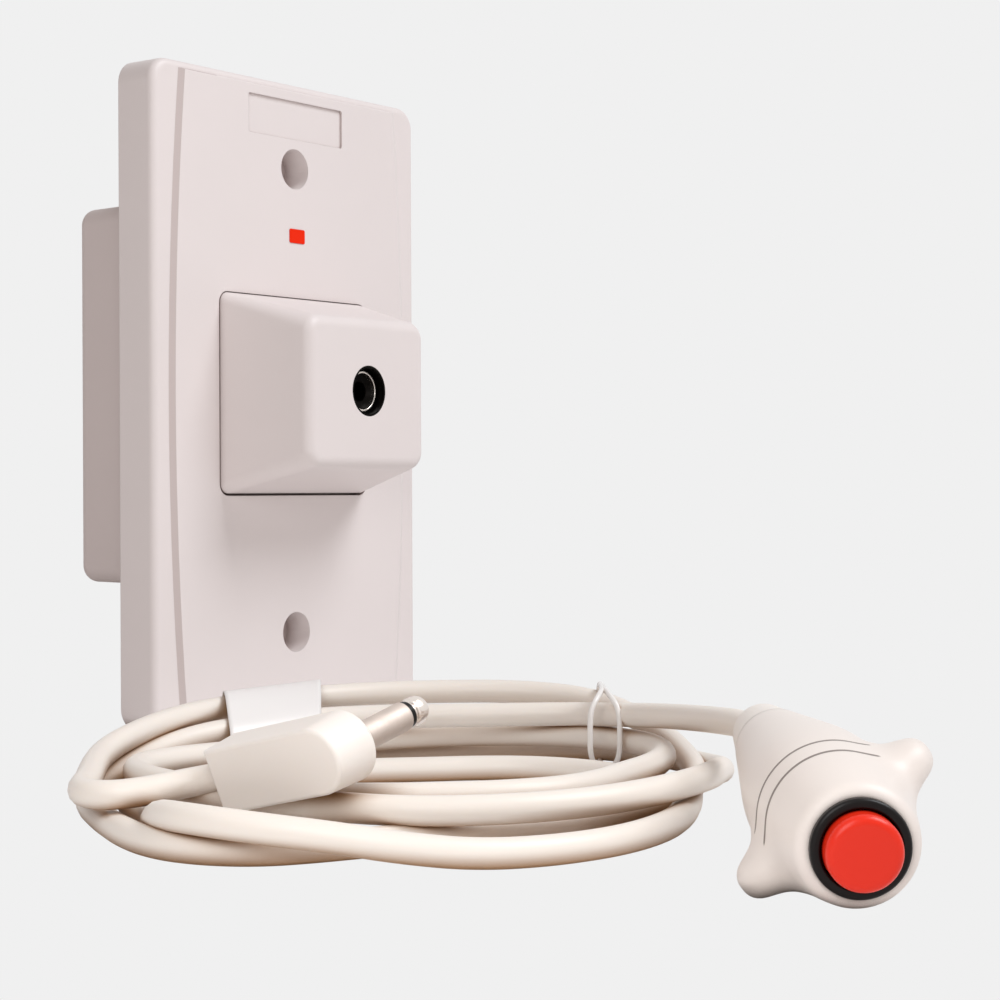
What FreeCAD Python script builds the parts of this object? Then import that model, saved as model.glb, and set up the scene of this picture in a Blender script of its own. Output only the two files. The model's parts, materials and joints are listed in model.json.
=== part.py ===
import FreeCAD, Part
import math
import os
import Sketcher
from FreeCAD import Placement, Rotation, Vector

# Wireless push button: a wall plate with a raised call socket, the radio box behind it, and the
# pear-shaped hand button on a coiled cord whose plug fits the socket. Millimetres, +Z up. The
# origin is the middle of the plate's bottom edge, and the plate faces -Y.

SIZES = {
    # wall plate, a single-gang cover open at the back
    "plate_wide": 69.85,
    "plate_tall": 114.3,
    "plate_deep": 8.7,
    "plate_corner": 4.0,
    "plate_edge_round": 1.3,
    "cut_margin": 0.5,
    "plate_wall": 2.4,
    "plate_front": 2.6,
    "panel_proud": 0.6,
    "panel_end_half": 28.9,
    "panel_inset": 1.4,
    "panel_bow": 607.0,
    "panel_slope": 1.3,
    "panel_edge_round": 0.3,
    "screw_spacing": 83.34,
    "screw_hole": 2.1,
    "screw_sink": 3.6,
    "screw_sink_deep": 5.5,
    "screw_boss": 4.6,
    "socket_height": 58.0,
    "window_height": 86.8,
    "window_wide": 4.0,
    "window_tall": 2.5,
    "window_flange": 0.6,
    "window_flange_thick": 0.8,
    "window_proud": 0.12,
    "window_corner": 0.3,
    "name_height": 107.6,
    "name_wide": 25.0,
    "name_tall": 6.9,
    "name_deep": 0.4,
    "name_corner": 0.4,
    "badge_side": 0.5,
    # raised socket housing
    "block_base_wide": 38.8,
    "block_base_tall": 35.0,
    "block_face_wide": 31.2,
    "block_face_tall": 25.8,
    "block_proud": 17.24,
    "block_corner": 1.8,
    "block_face_corner": 3.4,
    "block_gap": 0.28,
    "block_lift": 0.12,
    "block_face_round": 2.2,
    "block_wall": 2.2,
    "block_inside_corner": 0.8,
    "block_inside_slope": 0.44,
    "block_flange": 1.1,
    "block_flange_thick": 1.5,
    "jack_height": 58.4,
    # socket for the plug
    "jack_nose": 4.45,
    "jack_nose_bore": 4.1,
    "jack_ledge": 1.65,
    "jack_well": 3.2,
    "jack_well_floor": 2.3,
    "jack_bore": 1.8,
    "jack_bore_long": 10.0,
    "jack_block": 11.0,
    "jack_block_corner": 0.6,
    "jack_step": 0.2,
    "jack_wall": 0.6,
    "jack_wall_overlap": 0.3,
    "jack_block_long": 11.8,
    "ferrule_outer": 3.55,
    "ferrule_proud": 0.3,
    "ferrule_long": 1.9,
    "spring_strip_wide": 2.0,
    "spring_strip_thick": 0.4,
    "spring_strip_tall": 6.0,
    # box behind the plate
    "box_wide": 48.6,
    "box_tall": 67.8,
    "box_foot": 24.3,
    "box_back": 26.8,
    "box_draft": 0.4,
    "box_corner": 3.0,
    "box_back_round": 2.4,
    "box_wall": 2.0,
    "post_side": 18.7,
    "post_low": 29.8,
    "post_high": 84.9,
    "post_radius": 3.1,
    "post_start": 2.0,
    "boss_radius": 2.6,
    "box_screw_seat": 6.0,
    "box_screw_head": 2.0,
    "box_screw_head_tall": 1.6,
    "box_screw_shank": 1.1,
    "box_screw_long": 7.0,
    "screw_clearance": 0.15,
    "screw_slot_wide": 0.5,
    "screw_slot_deep": 0.6,
    # circuit board and what it carries
    "board_wide": 42.0,
    "board_foot": 28.0,
    "board_tall": 59.2,
    "board_thick": 1.6,
    "board_front": 1.0,
    "board_notch": 3.5,
    "board_corner": 0.5,
    "board_screw_side": 12.0,
    "board_screw_low": 33.5,
    "board_screw_high": 81.0,
    "board_screw_head": 1.9,
    "board_screw_head_tall": 1.3,
    "board_screw_shank": 0.9,
    "board_screw_long": 5.4,
    "board_post": 2.4,
    "module_wide": 18.0,
    "module_tall": 9.0,
    "module_foot": 75.5,
    "module_base": 0.8,
    "module_can": 1.6,
    "module_rim": 0.8,
    "lamp_radius": 1.5,
    "lamp_long": 1.8,
    "lamp_dome": 0.9,
    "lamp_drop": 0.9,
    "antenna_wire": 0.6,
    "antenna_side": -14.8,
    "antenna_back": 8.0,
    "antenna_low": 36.0,
    "antenna_high": 79.5,
    "antenna_bend": 12.0,
    "antenna_foot": 1.5,
    "antenna_lean": 1.0,
    "antenna_lean_end": 1.5,
    "battery_radius": 8.5,
    "battery_long": 33.9,
    "battery_nub": 3.2,
    "battery_nub_tall": 0.6,
    "battery_foot_round": 0.6,
    "battery_top_round": 0.8,
    "battery_foot": 36.0,
    "battery_back": 14.8,
    "cradle_wide": 20.0,
    "cradle_tall": 38.3,
    "cradle_foot": 34.1,
    "cradle_deep": 12.0,
    "cradle_gap": 0.15,
    "contact_strip": 0.4,
    "contact_wide": 8.0,
    "contact_deep": 7.0,
    # hand button: lengths run along its own axis from the face
    "grip_face": 5.3,
    "grip_face_round": 1.1,
    "grip_lip": 6.13,
    "grip_lip_at": 1.0,
    "grip_shoulder": 7.184,
    "grip_shoulder_at": 26.5,
    "grip_bulge": 80.0,
    "grip_long": 46.5,
    "grip_tail": 4.79,
    "grip_bore": 4.65,
    "grip_bore_long": 22.5,
    "cord_bore": 1.8,
    "groove_first": 9.6,
    "groove_step": 3.8,
    "groove_ring": 7.71,
    "groove_ring_growth": 0.25,
    "groove_shift": 0.39,
    "groove_wire": 0.19,
    "wing_thick": 4.5,
    "wing_edge_round": 2.1,
    "wing_tip": 11.65,
    "wing_tip_radius": 3.4,
    "wing_tip_at": 12.3,
    "wing_heel_at": 14.58,
    "wing_heel": 10.78,
    "wing_root": 4.6,
    "wing_end": 25.1,
    "wing_hollow": 30.3,
    "relief_long": 10.4,
    "relief_start": 4.7,
    "relief_end": 3.7,
    "relief_round": 1.2,
    "relief_spigot": 6.0,
    # button, switch and its contacts
    "bezel_flange": 4.9,
    "bezel_flange_thick": 0.9,
    "bezel_round": 0.45,
    "bezel_long": 8.0,
    "bezel_bore": 3.9,
    "bezel_well": 5.5,
    "bezel_web_hole": 1.35,
    "cap_radius": 3.75,
    "cap_proud": 3.0,
    "cap_skirt": 2.6,
    "cap_round": 0.9,
    "stem_radius": 1.2,
    "stem_end": 9.4,
    "bridge_radius": 2.4,
    "bridge_thick": 0.5,
    "spring_wire": 0.2,
    "spring_radius": 2.3,
    "spring_turns": 3.0,
    "switch_radius": 4.5,
    "switch_cavity": 3.6,
    "switch_floor": 13.0,
    "switch_end": 18.0,
    "pin_side": 1.9,
    "pin_radius": 0.45,
    "pin_head": 0.9,
    "pin_head_at": 11.45,
    "pin_head_thick": 0.55,
    "pin_end": 20.5,
    # right-angle plug: the shank runs along X, the cord leaves along Y
    "plug_back_half": 3.9,
    "plug_front_half": 4.25,
    "plug_body_deep": 6.25,
    "plug_body_long": 16.85,
    "plug_round": 0.5,
    "shank_radius": 1.75,
    "sleeve_long": 9.6,
    "sleeve_bore": 0.8,
    "sleeve_bore_deep": 3.0,
    "insulator_long": 0.8,
    "insulator_radius": 1.6,
    "tip_neck": 1.1,
    "tip_neck_start": 0.25,
    "tip_neck_end": 0.55,
    "tip_shoulder": 1.0,
    "tip_shoulder_end": 1.55,
    "tip_long": 3.2,
    "tip_rod": 0.6,
    "ball_rise": 0.9,
    "ball_half": 1.2,
    # cord, its coil and what is on it
    "cord_radius": 1.75,
    "coil_front_radius": 33.0,
    "coil_back_radius": 46.5,
    "coil_hole_front": 13.0,
    "coil_hole_back": 26.0,
    "coil_stretch": 19.6,
    "coil_front_tall": 3.4,
    "coil_back_tall": 12.0,
    "coil_flat_end": -13.5,
    "coil_rise_end": 62.5,
    "tie_radius": 5.9,
    "tie_wire": 0.45,
    "label_wide": 14.0,
    "label_long": 20.2,
    "label_thick": 0.4,
    "label_corner": 1.0,
    "label_at": 45.0,
    "label_side": 21.0,
}

# Places where the loose pieces lie.
GRIP_PLACE = Placement(Vector(-110.1, -173.87, 7.0), Rotation(39.05, -4.73, -37.5))
PLUG_PLACE = Placement(Vector(-113.59, -108.39, 10.7), Rotation(-0.98, -14.1, -12.89))
COIL_PLACE = Placement(Vector(-87.7, -99.0, 0), Rotation(36.56, 0, 0))
TIE_PLACE = Placement(Vector(-27.4, -88.5, 6.6), Rotation(Vector(0, 0, 1), Vector(0.14, 0.99, 0)))

# The cord's free stretches, from the hand button to the coil and from the coil to the plug.
TAIL_ROUTE = [
    (-66.1, -137.9, 11.7), (-59.3, -131.9, 11.7), (-52.1, -124.0, 11.1), (-43.7, -113.5, 10.2),
    (-37.1, -103.1, 9.3), (-33.2, -93.4, 8.5), (-31.6, -86.5, 8.1),
]
LEAD_ROUTE = [
    (-109.36, -92.03, 7.82), (-109.2, -88.6, 7.05), (-111.2, -85.4, 6.35), (-115.0, -83.6, 5.8),
    (-118.2, -80.9, 5.45), (-118.3, -76.8, 5.4), (-115.3, -73.1, 5.4), (-110.3, -68.9, 5.45),
    (-104.9, -63.8, 5.8),
]

# Corners in one turn of the return spring.
SPRING_POINTS = 8

doc = FreeCAD.newDocument("wireless_push_button")
sheet = doc.addObject("Spreadsheet::Sheet", "sheet")
problems = []


def fill_sheet():
    """One row for each size: its name, its value, and the name as the value's alias."""
    for row, (name, value) in enumerate(SIZES.items(), start=1):
        sheet.set(f"A{row}", name)
        sheet.set(f"B{row}", str(value))
        sheet.setAlias(f"B{row}", name)
    doc.recompute()


def number(value):
    return value.value if isinstance(value, Length) else float(value)


def text(value):
    return value.text if isinstance(value, Length) else f"{float(value):.6f}"


class Length:
    """A size with the sheet expression that gives it, so that sums of sizes stay bound to the sheet."""

    def __init__(self, value, expression):
        self.value = value
        self.text = expression

    def __add__(self, other):
        return Length(self.value + number(other), f"({self.text} + {text(other)})")

    def __sub__(self, other):
        return Length(self.value - number(other), f"({self.text} - {text(other)})")

    def __rsub__(self, other):
        return Length(number(other) - self.value, f"({text(other)} - {self.text})")

    def __mul__(self, factor):
        return Length(self.value * number(factor), f"({self.text} * {text(factor)})")

    def __truediv__(self, factor):
        return Length(self.value / number(factor), f"({self.text} / {text(factor)})")

    def __neg__(self):
        return self * -1

    __radd__ = __add__
    __rmul__ = __mul__


class Sizes:
    """Each size of the sheet as a Length, by its alias."""

    def __getattr__(self, name):
        return Length(float(sheet.get(name)), f"sheet.{name}")


size = Sizes()


def bind(thing, path, value):
    """Sets a property of a feature and ties it to the sheet."""
    if "." not in path and "[" not in path:
        setattr(thing, path, number(value))
    if isinstance(value, Length):
        thing.setExpression(path, value.text)


def new_body(label, place=None):
    body = doc.addObject("PartDesign::Body", label)
    body.Label = label
    if place:
        body.Placement = place
    return body


def drawing_on(body, role, offset=0):
    """A sketch on one of the body's origin planes, moved along the plane's normal."""
    drawing = body.newObject("Sketcher::SketchObject", "drawing")
    plane = next(item for item in body.Origin.OriginFeatures if item.Role == role)
    drawing.AttachmentSupport = (plane, [""])
    drawing.MapMode = "FlatFace"
    drawing.AttachmentOffset = Placement(Vector(0, 0, number(offset)), Rotation())
    bind(drawing, "AttachmentOffset.Base.z", offset)
    return drawing


def hold(drawing, kind, places, value):
    """Adds a dimension to a sketch and ties it to the sheet."""
    index = drawing.addConstraint(Sketcher.Constraint(kind, *places, number(value)))
    if isinstance(value, Length):
        drawing.setExpression(f"Constraints[{index}]", value.text)


def arc_middle(start, end, radius):
    """The middle of the shorter arc from start to end; a positive radius turns to the left."""
    chord = end - start
    half = chord.Length / 2
    reach = math.sqrt(max(radius * radius - half * half, 0.0))
    rise = (abs(radius) - reach) * math.copysign(1, radius)
    side = Vector(chord.y, -chord.x, 0).normalize()
    return (start + end) / 2 + side * rise


def outline(drawing, *corners):
    """A closed outline. A corner is (x, y) after a straight side, or (x, y, radius) after an arc."""
    points = [Vector(number(c[0]), number(c[1]), 0) for c in corners]
    ends = []
    for index, corner in enumerate(corners):
        start, end = points[index - 1], points[index]
        if len(corner) == 2:
            edge = drawing.addGeometry(Part.LineSegment(start, end), False)
        else:
            middle = arc_middle(start, end, number(corner[2]))
            edge = drawing.addGeometry(Part.Arc(start, middle, end), False)
        first = 1 if drawing.getPoint(edge, 1).distanceToPoint(start) < 1e-6 else 2
        ends.append((edge, first, 3 - first))
    for index, corner in enumerate(corners):
        edge, first, last = ends[index]
        hold(drawing, "DistanceX", (-1, 1, edge, last), corner[0])
        hold(drawing, "DistanceY", (-1, 1, edge, last), corner[1])
        after = ends[(index + 1) % len(ends)]
        drawing.addConstraint(Sketcher.Constraint("Coincident", edge, last, after[0], after[1]))
        if len(corner) == 3:
            radius = corner[2] if number(corner[2]) > 0 else corner[2] * -1
            hold(drawing, "Radius", (edge,), radius)


def rounded_box(drawing, wide, tall, corner, middle=(0, 0)):
    """A rectangle about a middle point, with rounded corners."""
    right, left = middle[0] + wide / 2, middle[0] - wide / 2
    top, foot = middle[1] + tall / 2, middle[1] - tall / 2
    outline(
        drawing,
        (left + corner, foot, corner), (right - corner, foot), (right, foot + corner, corner),
        (right, top - corner), (right - corner, top, corner),
        (left + corner, top), (left, top - corner, corner), (left, foot + corner),
    )


def circles(drawing, radius, *middles):
    for x, y in middles:
        middle = Vector(number(x), number(y), 0)
        edge = drawing.addGeometry(Part.Circle(middle, Vector(0, 0, 1), number(radius)), False)
        hold(drawing, "Radius", (edge,), radius)
        hold(drawing, "DistanceX", (-1, 1, edge, 3), x)
        hold(drawing, "DistanceY", (-1, 1, edge, 3), y)


def feature(body, kind, drawing, grows):
    """Adds a feature to a body, and notes a problem where the volume doesn't change the right way."""
    before = body.Shape.Volume if not body.Shape.isNull() else 0.0
    made = body.newObject(f"PartDesign::{kind}", kind.lower())
    made.Profile = drawing
    drawing.Visibility = False

    def check():
        doc.recompute()
        change = body.Shape.Volume - before
        if (change > 0) != grows or abs(change) < 1e-6:
            problems.append(f"{body.Label}: {kind} changes the volume by {change:.4f}")

    return made, check


def pad(body, drawing, length, symmetric=False):
    made, check = feature(body, "Pad", drawing, True)
    bind(made, "Length", length)
    if symmetric:
        made.SideType = "Symmetric"
    check()
    return made


def pocket(body, drawing, length, toward_normal=False):
    made, check = feature(body, "Pocket", drawing, False)
    bind(made, "Length", length)
    made.Reversed = toward_normal
    check()
    return made


def turn(body, drawing, axis="H_Axis", cut=False):
    made, check = feature(body, "Groove" if cut else "Revolution", drawing, not cut)
    made.ReferenceAxis = (drawing, [axis])
    made.Angle = 360
    check()
    return made


def loft(body, first, second, cut=False):
    made, check = feature(body, "SubtractiveLoft" if cut else "AdditiveLoft", first, not cut)
    made.Sections = [second]
    made.Ruled = True
    check()
    return made


def round_edges(body, radius, wanted):
    """Rounds the edges of the body's last feature that the test picks."""
    base = body.Tip
    names = [f"Edge{i}" for i, edge in enumerate(base.Shape.Edges, start=1) if wanted(edge)]
    if not names:
        problems.append(f"{body.Label}: no edge to round")
        return
    made = body.newObject("PartDesign::Fillet", "fillet")
    made.Base = (base, names)
    bind(made, "Radius", radius)
    doc.recompute()


def lies_at(axis, value):
    """A test for edges that lie wholly at one height along an axis, in the body's own frame."""
    def test(edge):
        box = edge.BoundBox
        low, high = getattr(box, axis + "Min"), getattr(box, axis + "Max")
        return abs(low - number(value)) < 0.01 and abs(high - number(value)) < 0.01
    return test


def turned(label, corners, place=None, axis="H_Axis", role="XY_Plane"):
    """A turned piece: one closed half section spun about an axis of its sketch."""
    body = new_body(label, place)
    drawing = drawing_on(body, role)
    outline(drawing, *corners)
    turn(body, drawing, axis)
    return body


def block(label, wide, deep, tall, corner, place=None):
    """A rectangular piece from its lowest corner."""
    made = doc.addObject("Part::Box", label)
    made.Label = label
    bind(made, "Length", wide)
    bind(made, "Width", deep)
    bind(made, "Height", tall)
    for name, value in zip("xyz", corner):
        setattr(made.Placement.Base, name, number(value))
        bind(made, f"Placement.Base.{name}", value)
    return made


def rod(label, radius, tall, foot, turned_to=Vector(0, 0, 1)):
    """A round piece from the middle of its foot, along a direction."""
    made = doc.addObject("Part::Cylinder", label)
    made.Label = label
    bind(made, "Radius", radius)
    bind(made, "Height", tall)
    made.Placement.Rotation = Rotation(Vector(0, 0, 1), turned_to)
    for name, value in zip("xyz", foot):
        bind(made, f"Placement.Base.{name}", value)
    return made


def ring(label, radius, wire, place):
    made = doc.addObject("Part::Torus", label)
    made.Label = label
    bind(made, "Radius1", radius)
    bind(made, "Radius2", wire)
    made.Placement = place
    return made


def cut(label, base, tool, place=None):
    made = doc.addObject("Part::Cut", label)
    made.Label = label
    made.Base = base
    made.Tool = tool
    if place:
        made.Placement = place
    return made


def join(label, pieces, place=None):
    made = doc.addObject("Part::MultiFuse", label)
    made.Label = label
    made.Shapes = pieces
    if place:
        made.Placement = place
    return made


def dome(half, rise):
    """The radius of a cap that is as high as its rise over a given half width."""
    return (half * half + rise * rise) / (rise * 2)


def rounded_path(points):
    """Straight runs joined by tangent arcs, each as large as its two runs allow."""
    points = [Vector(*p) for p in points]
    edges = []
    radii = []
    here = points[0]
    for before, corner, after in zip(points, points[1:], points[2:]):
        back, ahead = before - corner, after - corner
        shorter = min(back.Length, ahead.Length)
        back.normalize()
        ahead.normalize()
        turn_angle = math.pi - back.getAngle(ahead)
        reach = 0.45 * shorter
        radii.append(reach / math.tan(turn_angle / 2))
        start, end = corner + back * reach, corner + ahead * reach
        inward = (back + ahead).normalize()
        apex = radii[-1] / math.cos(turn_angle / 2) - radii[-1]
        edges.append(Part.LineSegment(here, start).toShape())
        edges.append(Part.Arc(start, corner + inward * apex, end).toShape())
        here = end
    edges.append(Part.LineSegment(here, points[-1]).toShape())
    return Part.Wire(edges), radii


def tube(label, route, radius):
    """A round cord along a route; its radii and its volume over section times length are printed."""
    path, radii = rounded_path(route)
    heading = Vector(*route[1]) - Vector(*route[0])
    section = Part.Wire([Part.makeCircle(number(radius), Vector(*route[0]), heading)])
    made = doc.addObject("Part::Feature", label)
    made.Label = label
    made.Shape = path.makePipeShell([section], True, False)
    expected = math.pi * number(radius) ** 2 * path.Length
    ratio = made.Shape.Volume / expected
    print(label, "length", round(path.Length, 1), "radii", [round(r, 1) for r in radii])
    if abs(ratio - 1) > 0.01:
        problems.append(f"{label}: volume {ratio:.4f} of section times length")
    return made


def panel_outline(drawing, half):
    """The raised panel's outline: straight ends and bowed sides."""
    top = size.plate_tall - size.panel_inset
    outline(
        drawing,
        (half, size.panel_inset), (half, top, size.panel_bow),
        (-half, top), (-half, size.panel_inset, size.panel_bow),
    )


def make_wall_plate():
    """The cover: a shell open at the back, a raised panel with bowed sides, bosses and openings."""
    body = new_body("wall_plate")
    half_deep = size.plate_deep / 2
    inner_depth = size.plate_deep - size.plate_front
    middle = (0, size.plate_tall / 2)
    slab = drawing_on(body, "XZ_Plane", -half_deep)
    rounded_box(slab, size.plate_wide, size.plate_tall, size.plate_corner, middle)
    pad(body, slab, size.plate_deep - size.panel_proud)
    round_edges(body, size.plate_edge_round, lies_at("Y", size.panel_proud - half_deep))

    panel_foot = drawing_on(body, "XZ_Plane", half_deep - size.panel_proud)
    panel_outline(panel_foot, size.panel_end_half)
    panel_top = drawing_on(body, "XZ_Plane", half_deep)
    panel_outline(panel_top, size.panel_end_half - size.panel_slope)
    loft(body, panel_foot, panel_top)
    round_edges(body, size.panel_edge_round, lies_at("Y", -half_deep))

    hollow = drawing_on(body, "XZ_Plane", -half_deep)
    rounded_box(
        hollow, size.plate_wide - size.plate_wall * 2, size.plate_tall - size.plate_wall * 2,
        size.plate_corner - size.plate_wall, middle,
    )
    pocket(body, hollow, inner_depth, toward_normal=True)

    centre = size.plate_tall / 2
    screws = [(0, centre - size.screw_spacing / 2), (0, centre + size.screw_spacing / 2)]
    bosses = drawing_on(body, "XZ_Plane", -half_deep)
    circles(bosses, size.screw_boss, *screws)
    pad(body, bosses, inner_depth)
    add_inner_posts(body, half_deep)

    sinks = drawing_on(body, "XZ_Plane", half_deep)
    circles(sinks, size.screw_sink, *screws)
    pocket(body, sinks, size.screw_sink_deep)
    holes = drawing_on(body, "XZ_Plane", half_deep)
    circles(holes, size.screw_hole, *screws)
    pocket(body, holes, size.plate_deep + 1)
    add_front_openings(body, half_deep)
    return body


def box_post_places():
    return [(side, height) for side in (-size.post_side, size.post_side)
            for height in (size.post_low, size.post_high)]


def board_screw_places():
    return [(side, height) for side in (-size.board_screw_side, size.board_screw_side)
            for height in (size.board_screw_low, size.board_screw_high)]


def add_inner_posts(body, half_deep):
    """Posts that carry the circuit board and the box's screws, with their pilot holes."""
    inner_face = half_deep - size.plate_front
    for places, radius, end, pilot in (
        (board_screw_places(), size.board_post, size.board_front, size.board_screw_shank),
        (box_post_places(), size.boss_radius, size.post_start, size.box_screw_shank),
    ):
        posts = drawing_on(body, "XZ_Plane", -end)
        circles(posts, radius, *places)
        pad(body, posts, end + inner_face)
        pilots = drawing_on(body, "XZ_Plane", -end)
        circles(pilots, pilot, *places)
        pocket(body, pilots, end + inner_face + size.plate_front / 2, toward_normal=True)


def add_front_openings(body, half_deep):
    """The opening for the socket housing, the lamp's window and the bare recess for a name."""
    opening = drawing_on(body, "XZ_Plane", half_deep)
    rounded_box(
        opening, size.block_base_wide + size.block_gap * 2, size.block_base_tall + size.block_gap * 2,
        size.block_corner + size.block_gap, (0, size.socket_height - size.block_lift),
    )
    pocket(body, opening, size.plate_front + size.cut_margin)
    window = drawing_on(body, "XZ_Plane", half_deep)
    rounded_box(window, size.window_wide, size.window_tall, size.window_corner,
                (size.badge_side, size.window_height))
    pocket(body, window, size.plate_front + size.cut_margin)
    name = drawing_on(body, "XZ_Plane", half_deep)
    rounded_box(name, size.name_wide, size.name_tall, size.name_corner,
                (size.badge_side, size.name_height))
    pocket(body, name, size.name_deep)


def make_jack_housing():
    """The raised block: a hollow tapered cap with soft edges, a round hole, and a flange behind."""
    body = new_body("jack_housing")
    middle = (0, size.socket_height)
    front = size.plate_deep / 2
    rise = size.block_proud
    base = drawing_on(body, "XZ_Plane", front)
    rounded_box(base, size.block_base_wide, size.block_base_tall, size.block_corner, middle)
    face = drawing_on(body, "XZ_Plane", front + rise)
    rounded_box(face, size.block_face_wide, size.block_face_tall, size.block_face_corner, middle)
    loft(body, base, face)
    round_edges(body, size.block_face_round, lies_at("Y", -(front + rise)))

    skirt = drawing_on(body, "XZ_Plane", front)
    rounded_box(skirt, size.block_base_wide, size.block_base_tall, size.block_corner, middle)
    made, check = feature(body, "Pad", skirt, True)
    bind(made, "Length", size.plate_front)
    made.Reversed = True
    check()
    flange = drawing_on(body, "XZ_Plane", front - size.plate_front - size.block_flange_thick)
    rounded_box(
        flange, size.block_base_wide + size.block_flange * 2,
        size.block_base_tall + size.block_flange * 2, size.block_corner, middle,
    )
    pad(body, flange, size.block_flange_thick)

    wall = size.block_wall
    corner = size.block_inside_corner
    inside = (size.block_base_wide - wall * 2, size.block_base_tall - wall * 2)
    margin = wall * 2 + size.block_inside_slope
    mouth = drawing_on(body, "XZ_Plane", front)
    rounded_box(mouth, *inside, corner, middle)
    ceiling = drawing_on(body, "XZ_Plane", front + rise - wall)
    rounded_box(ceiling, size.block_face_wide - margin, size.block_face_tall - margin, corner, middle)
    loft(body, mouth, ceiling, cut=True)
    throat = drawing_on(body, "XZ_Plane", front)
    rounded_box(throat, *inside, corner, middle)
    pocket(body, throat, size.plate_front + size.block_flange_thick + 1)
    hole = drawing_on(body, "XZ_Plane", front + rise)
    circles(hole, size.jack_nose, (0, size.jack_height))
    pocket(body, hole, wall + 1)
    return body


def jack_place():
    """The socket's own X axis runs from the housing's face towards the back."""
    face = number(size.plate_deep / 2 + size.block_proud)
    return Placement(Vector(0, -face, number(size.jack_height)), Rotation(Vector(0, 0, 1), 90))


def make_jack():
    """The black socket: a round nose with a stepped mouth in front of a square block, both bored."""
    body = new_body("jack_body", jack_place())
    groove_floor = size.ferrule_long + size.jack_ledge - size.ferrule_proud
    bore_end = size.jack_well_floor + size.jack_bore_long
    shoulder = size.jack_block / 2 - size.jack_step
    wall_end = groove_floor + size.jack_wall
    nose = drawing_on(body, "XY_Plane")
    outline(
        nose,
        (0, size.jack_nose_bore), (0, size.jack_nose), (size.block_wall, size.jack_nose),
        (size.block_wall, shoulder), (wall_end, shoulder),
        (wall_end, size.jack_bore), (size.jack_well_floor, size.jack_bore),
        (size.jack_well_floor, size.jack_well), (groove_floor, size.jack_well),
        (groove_floor, size.ferrule_outer), (size.jack_ledge, size.ferrule_outer),
        (size.jack_ledge, size.jack_nose_bore),
    )
    turn(body, nose)
    square = drawing_on(body, "YZ_Plane", size.block_wall)
    rounded_box(square, size.jack_block, size.jack_block, size.jack_block_corner, (0, 0))
    circles(square, size.ferrule_outer + size.jack_wall, (0, 0))
    pad(body, square, size.jack_block_long)
    core = size.ferrule_outer + size.jack_wall + size.jack_wall_overlap
    core_start = groove_floor + size.jack_wall_overlap
    filling = drawing_on(body, "YZ_Plane", core_start)
    circles(filling, core, (0, 0))
    circles(filling, size.jack_bore, (0, 0))
    pad(body, filling, bore_end - core_start)
    rear = drawing_on(body, "YZ_Plane", bore_end)
    circles(rear, core, (0, 0))
    pad(body, rear, size.block_wall + size.jack_block_long - bore_end)

    inner = size.jack_well
    turned("jack_ferrule", [
        (size.jack_ledge - size.ferrule_proud, inner), (groove_floor, inner),
        (groove_floor, size.ferrule_outer), (size.jack_ledge - size.ferrule_proud, size.ferrule_outer),
    ], jack_place())

    strip = new_body("jack_tip_spring", jack_place())
    leaf = drawing_on(strip, "XZ_Plane")
    back = size.block_wall + size.jack_block_long
    thick = size.spring_strip_thick
    top = size.spring_strip_tall / 2
    reach = size.block_proud + size.plate_deep / 2 + size.board_front
    outline(
        leaf,
        (back, -top), (back + thick, -top), (back + thick, top - thick),
        (reach, top - thick), (reach, top), (back, top),
    )
    pad(strip, leaf, size.spring_strip_wide, symmetric=True)


def make_rear_box():
    """The deep box behind the plate: a rounded tray with four screw posts, open towards the plate."""
    body = new_body("rear_box")
    mouth = size.plate_front - size.plate_deep / 2
    middle = (0, size.box_foot + size.box_tall / 2)
    back_wide = size.box_wide - size.box_draft * 2
    back_tall = size.box_tall - size.box_draft * 2
    rim = drawing_on(body, "XZ_Plane", -mouth)
    rounded_box(rim, size.box_wide, size.box_tall, size.box_corner, middle)
    back = drawing_on(body, "XZ_Plane", -size.box_back)
    rounded_box(back, back_wide, back_tall, size.box_corner, middle)
    loft(body, back, rim)
    round_edges(body, size.box_back_round, lies_at("Y", size.box_back))
    hollow = drawing_on(body, "XZ_Plane", -mouth)
    rounded_box(
        hollow, back_wide - size.box_wall * 2, back_tall - size.box_wall * 2,
        size.box_corner - size.box_wall / 2, middle,
    )
    pocket(body, hollow, size.box_back - size.box_wall - mouth)
    posts = drawing_on(body, "XZ_Plane", size.box_wall - size.box_back)
    circles(posts, size.post_radius, *box_post_places())
    pad(body, posts, size.box_back - size.box_wall - size.post_start)
    sinks = drawing_on(body, "XZ_Plane", -size.box_back)
    circles(sinks, size.box_screw_head + size.screw_clearance, *box_post_places())
    pocket(body, sinks, size.box_back - size.box_screw_seat, toward_normal=True)
    holes = drawing_on(body, "XZ_Plane", -size.box_back)
    circles(holes, size.box_screw_shank + size.screw_clearance, *box_post_places())
    pocket(body, holes, size.box_back - size.post_start + size.cut_margin, toward_normal=True)


def make_screws(label, places, seat, head, head_tall, shank, long):
    """A group of equal slotted screws: each a head on its seat and a shank towards the plate."""
    screws = []
    for index, (side, height) in enumerate(places, start=1):
        top = rod(f"{label}_head_{index}", head, head_tall, (side, seat, height), Vector(0, 1, 0))
        pin = rod(f"{label}_shank_{index}", shank, long, (side, seat, height), Vector(0, -1, 0))
        whole = join(f"{label}_whole_{index}", [top, pin])
        slot = block(
            f"{label}_slot_{index}", head * 2, size.screw_slot_deep, size.screw_slot_wide,
            (side - head, seat + head_tall - size.screw_slot_deep, height - size.screw_slot_wide / 2),
        )
        screws.append(cut(f"{label}_{index}", whole, slot))
    group = doc.addObject("Part::Compound", label)
    group.Label = label
    group.Links = screws
    return group


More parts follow.
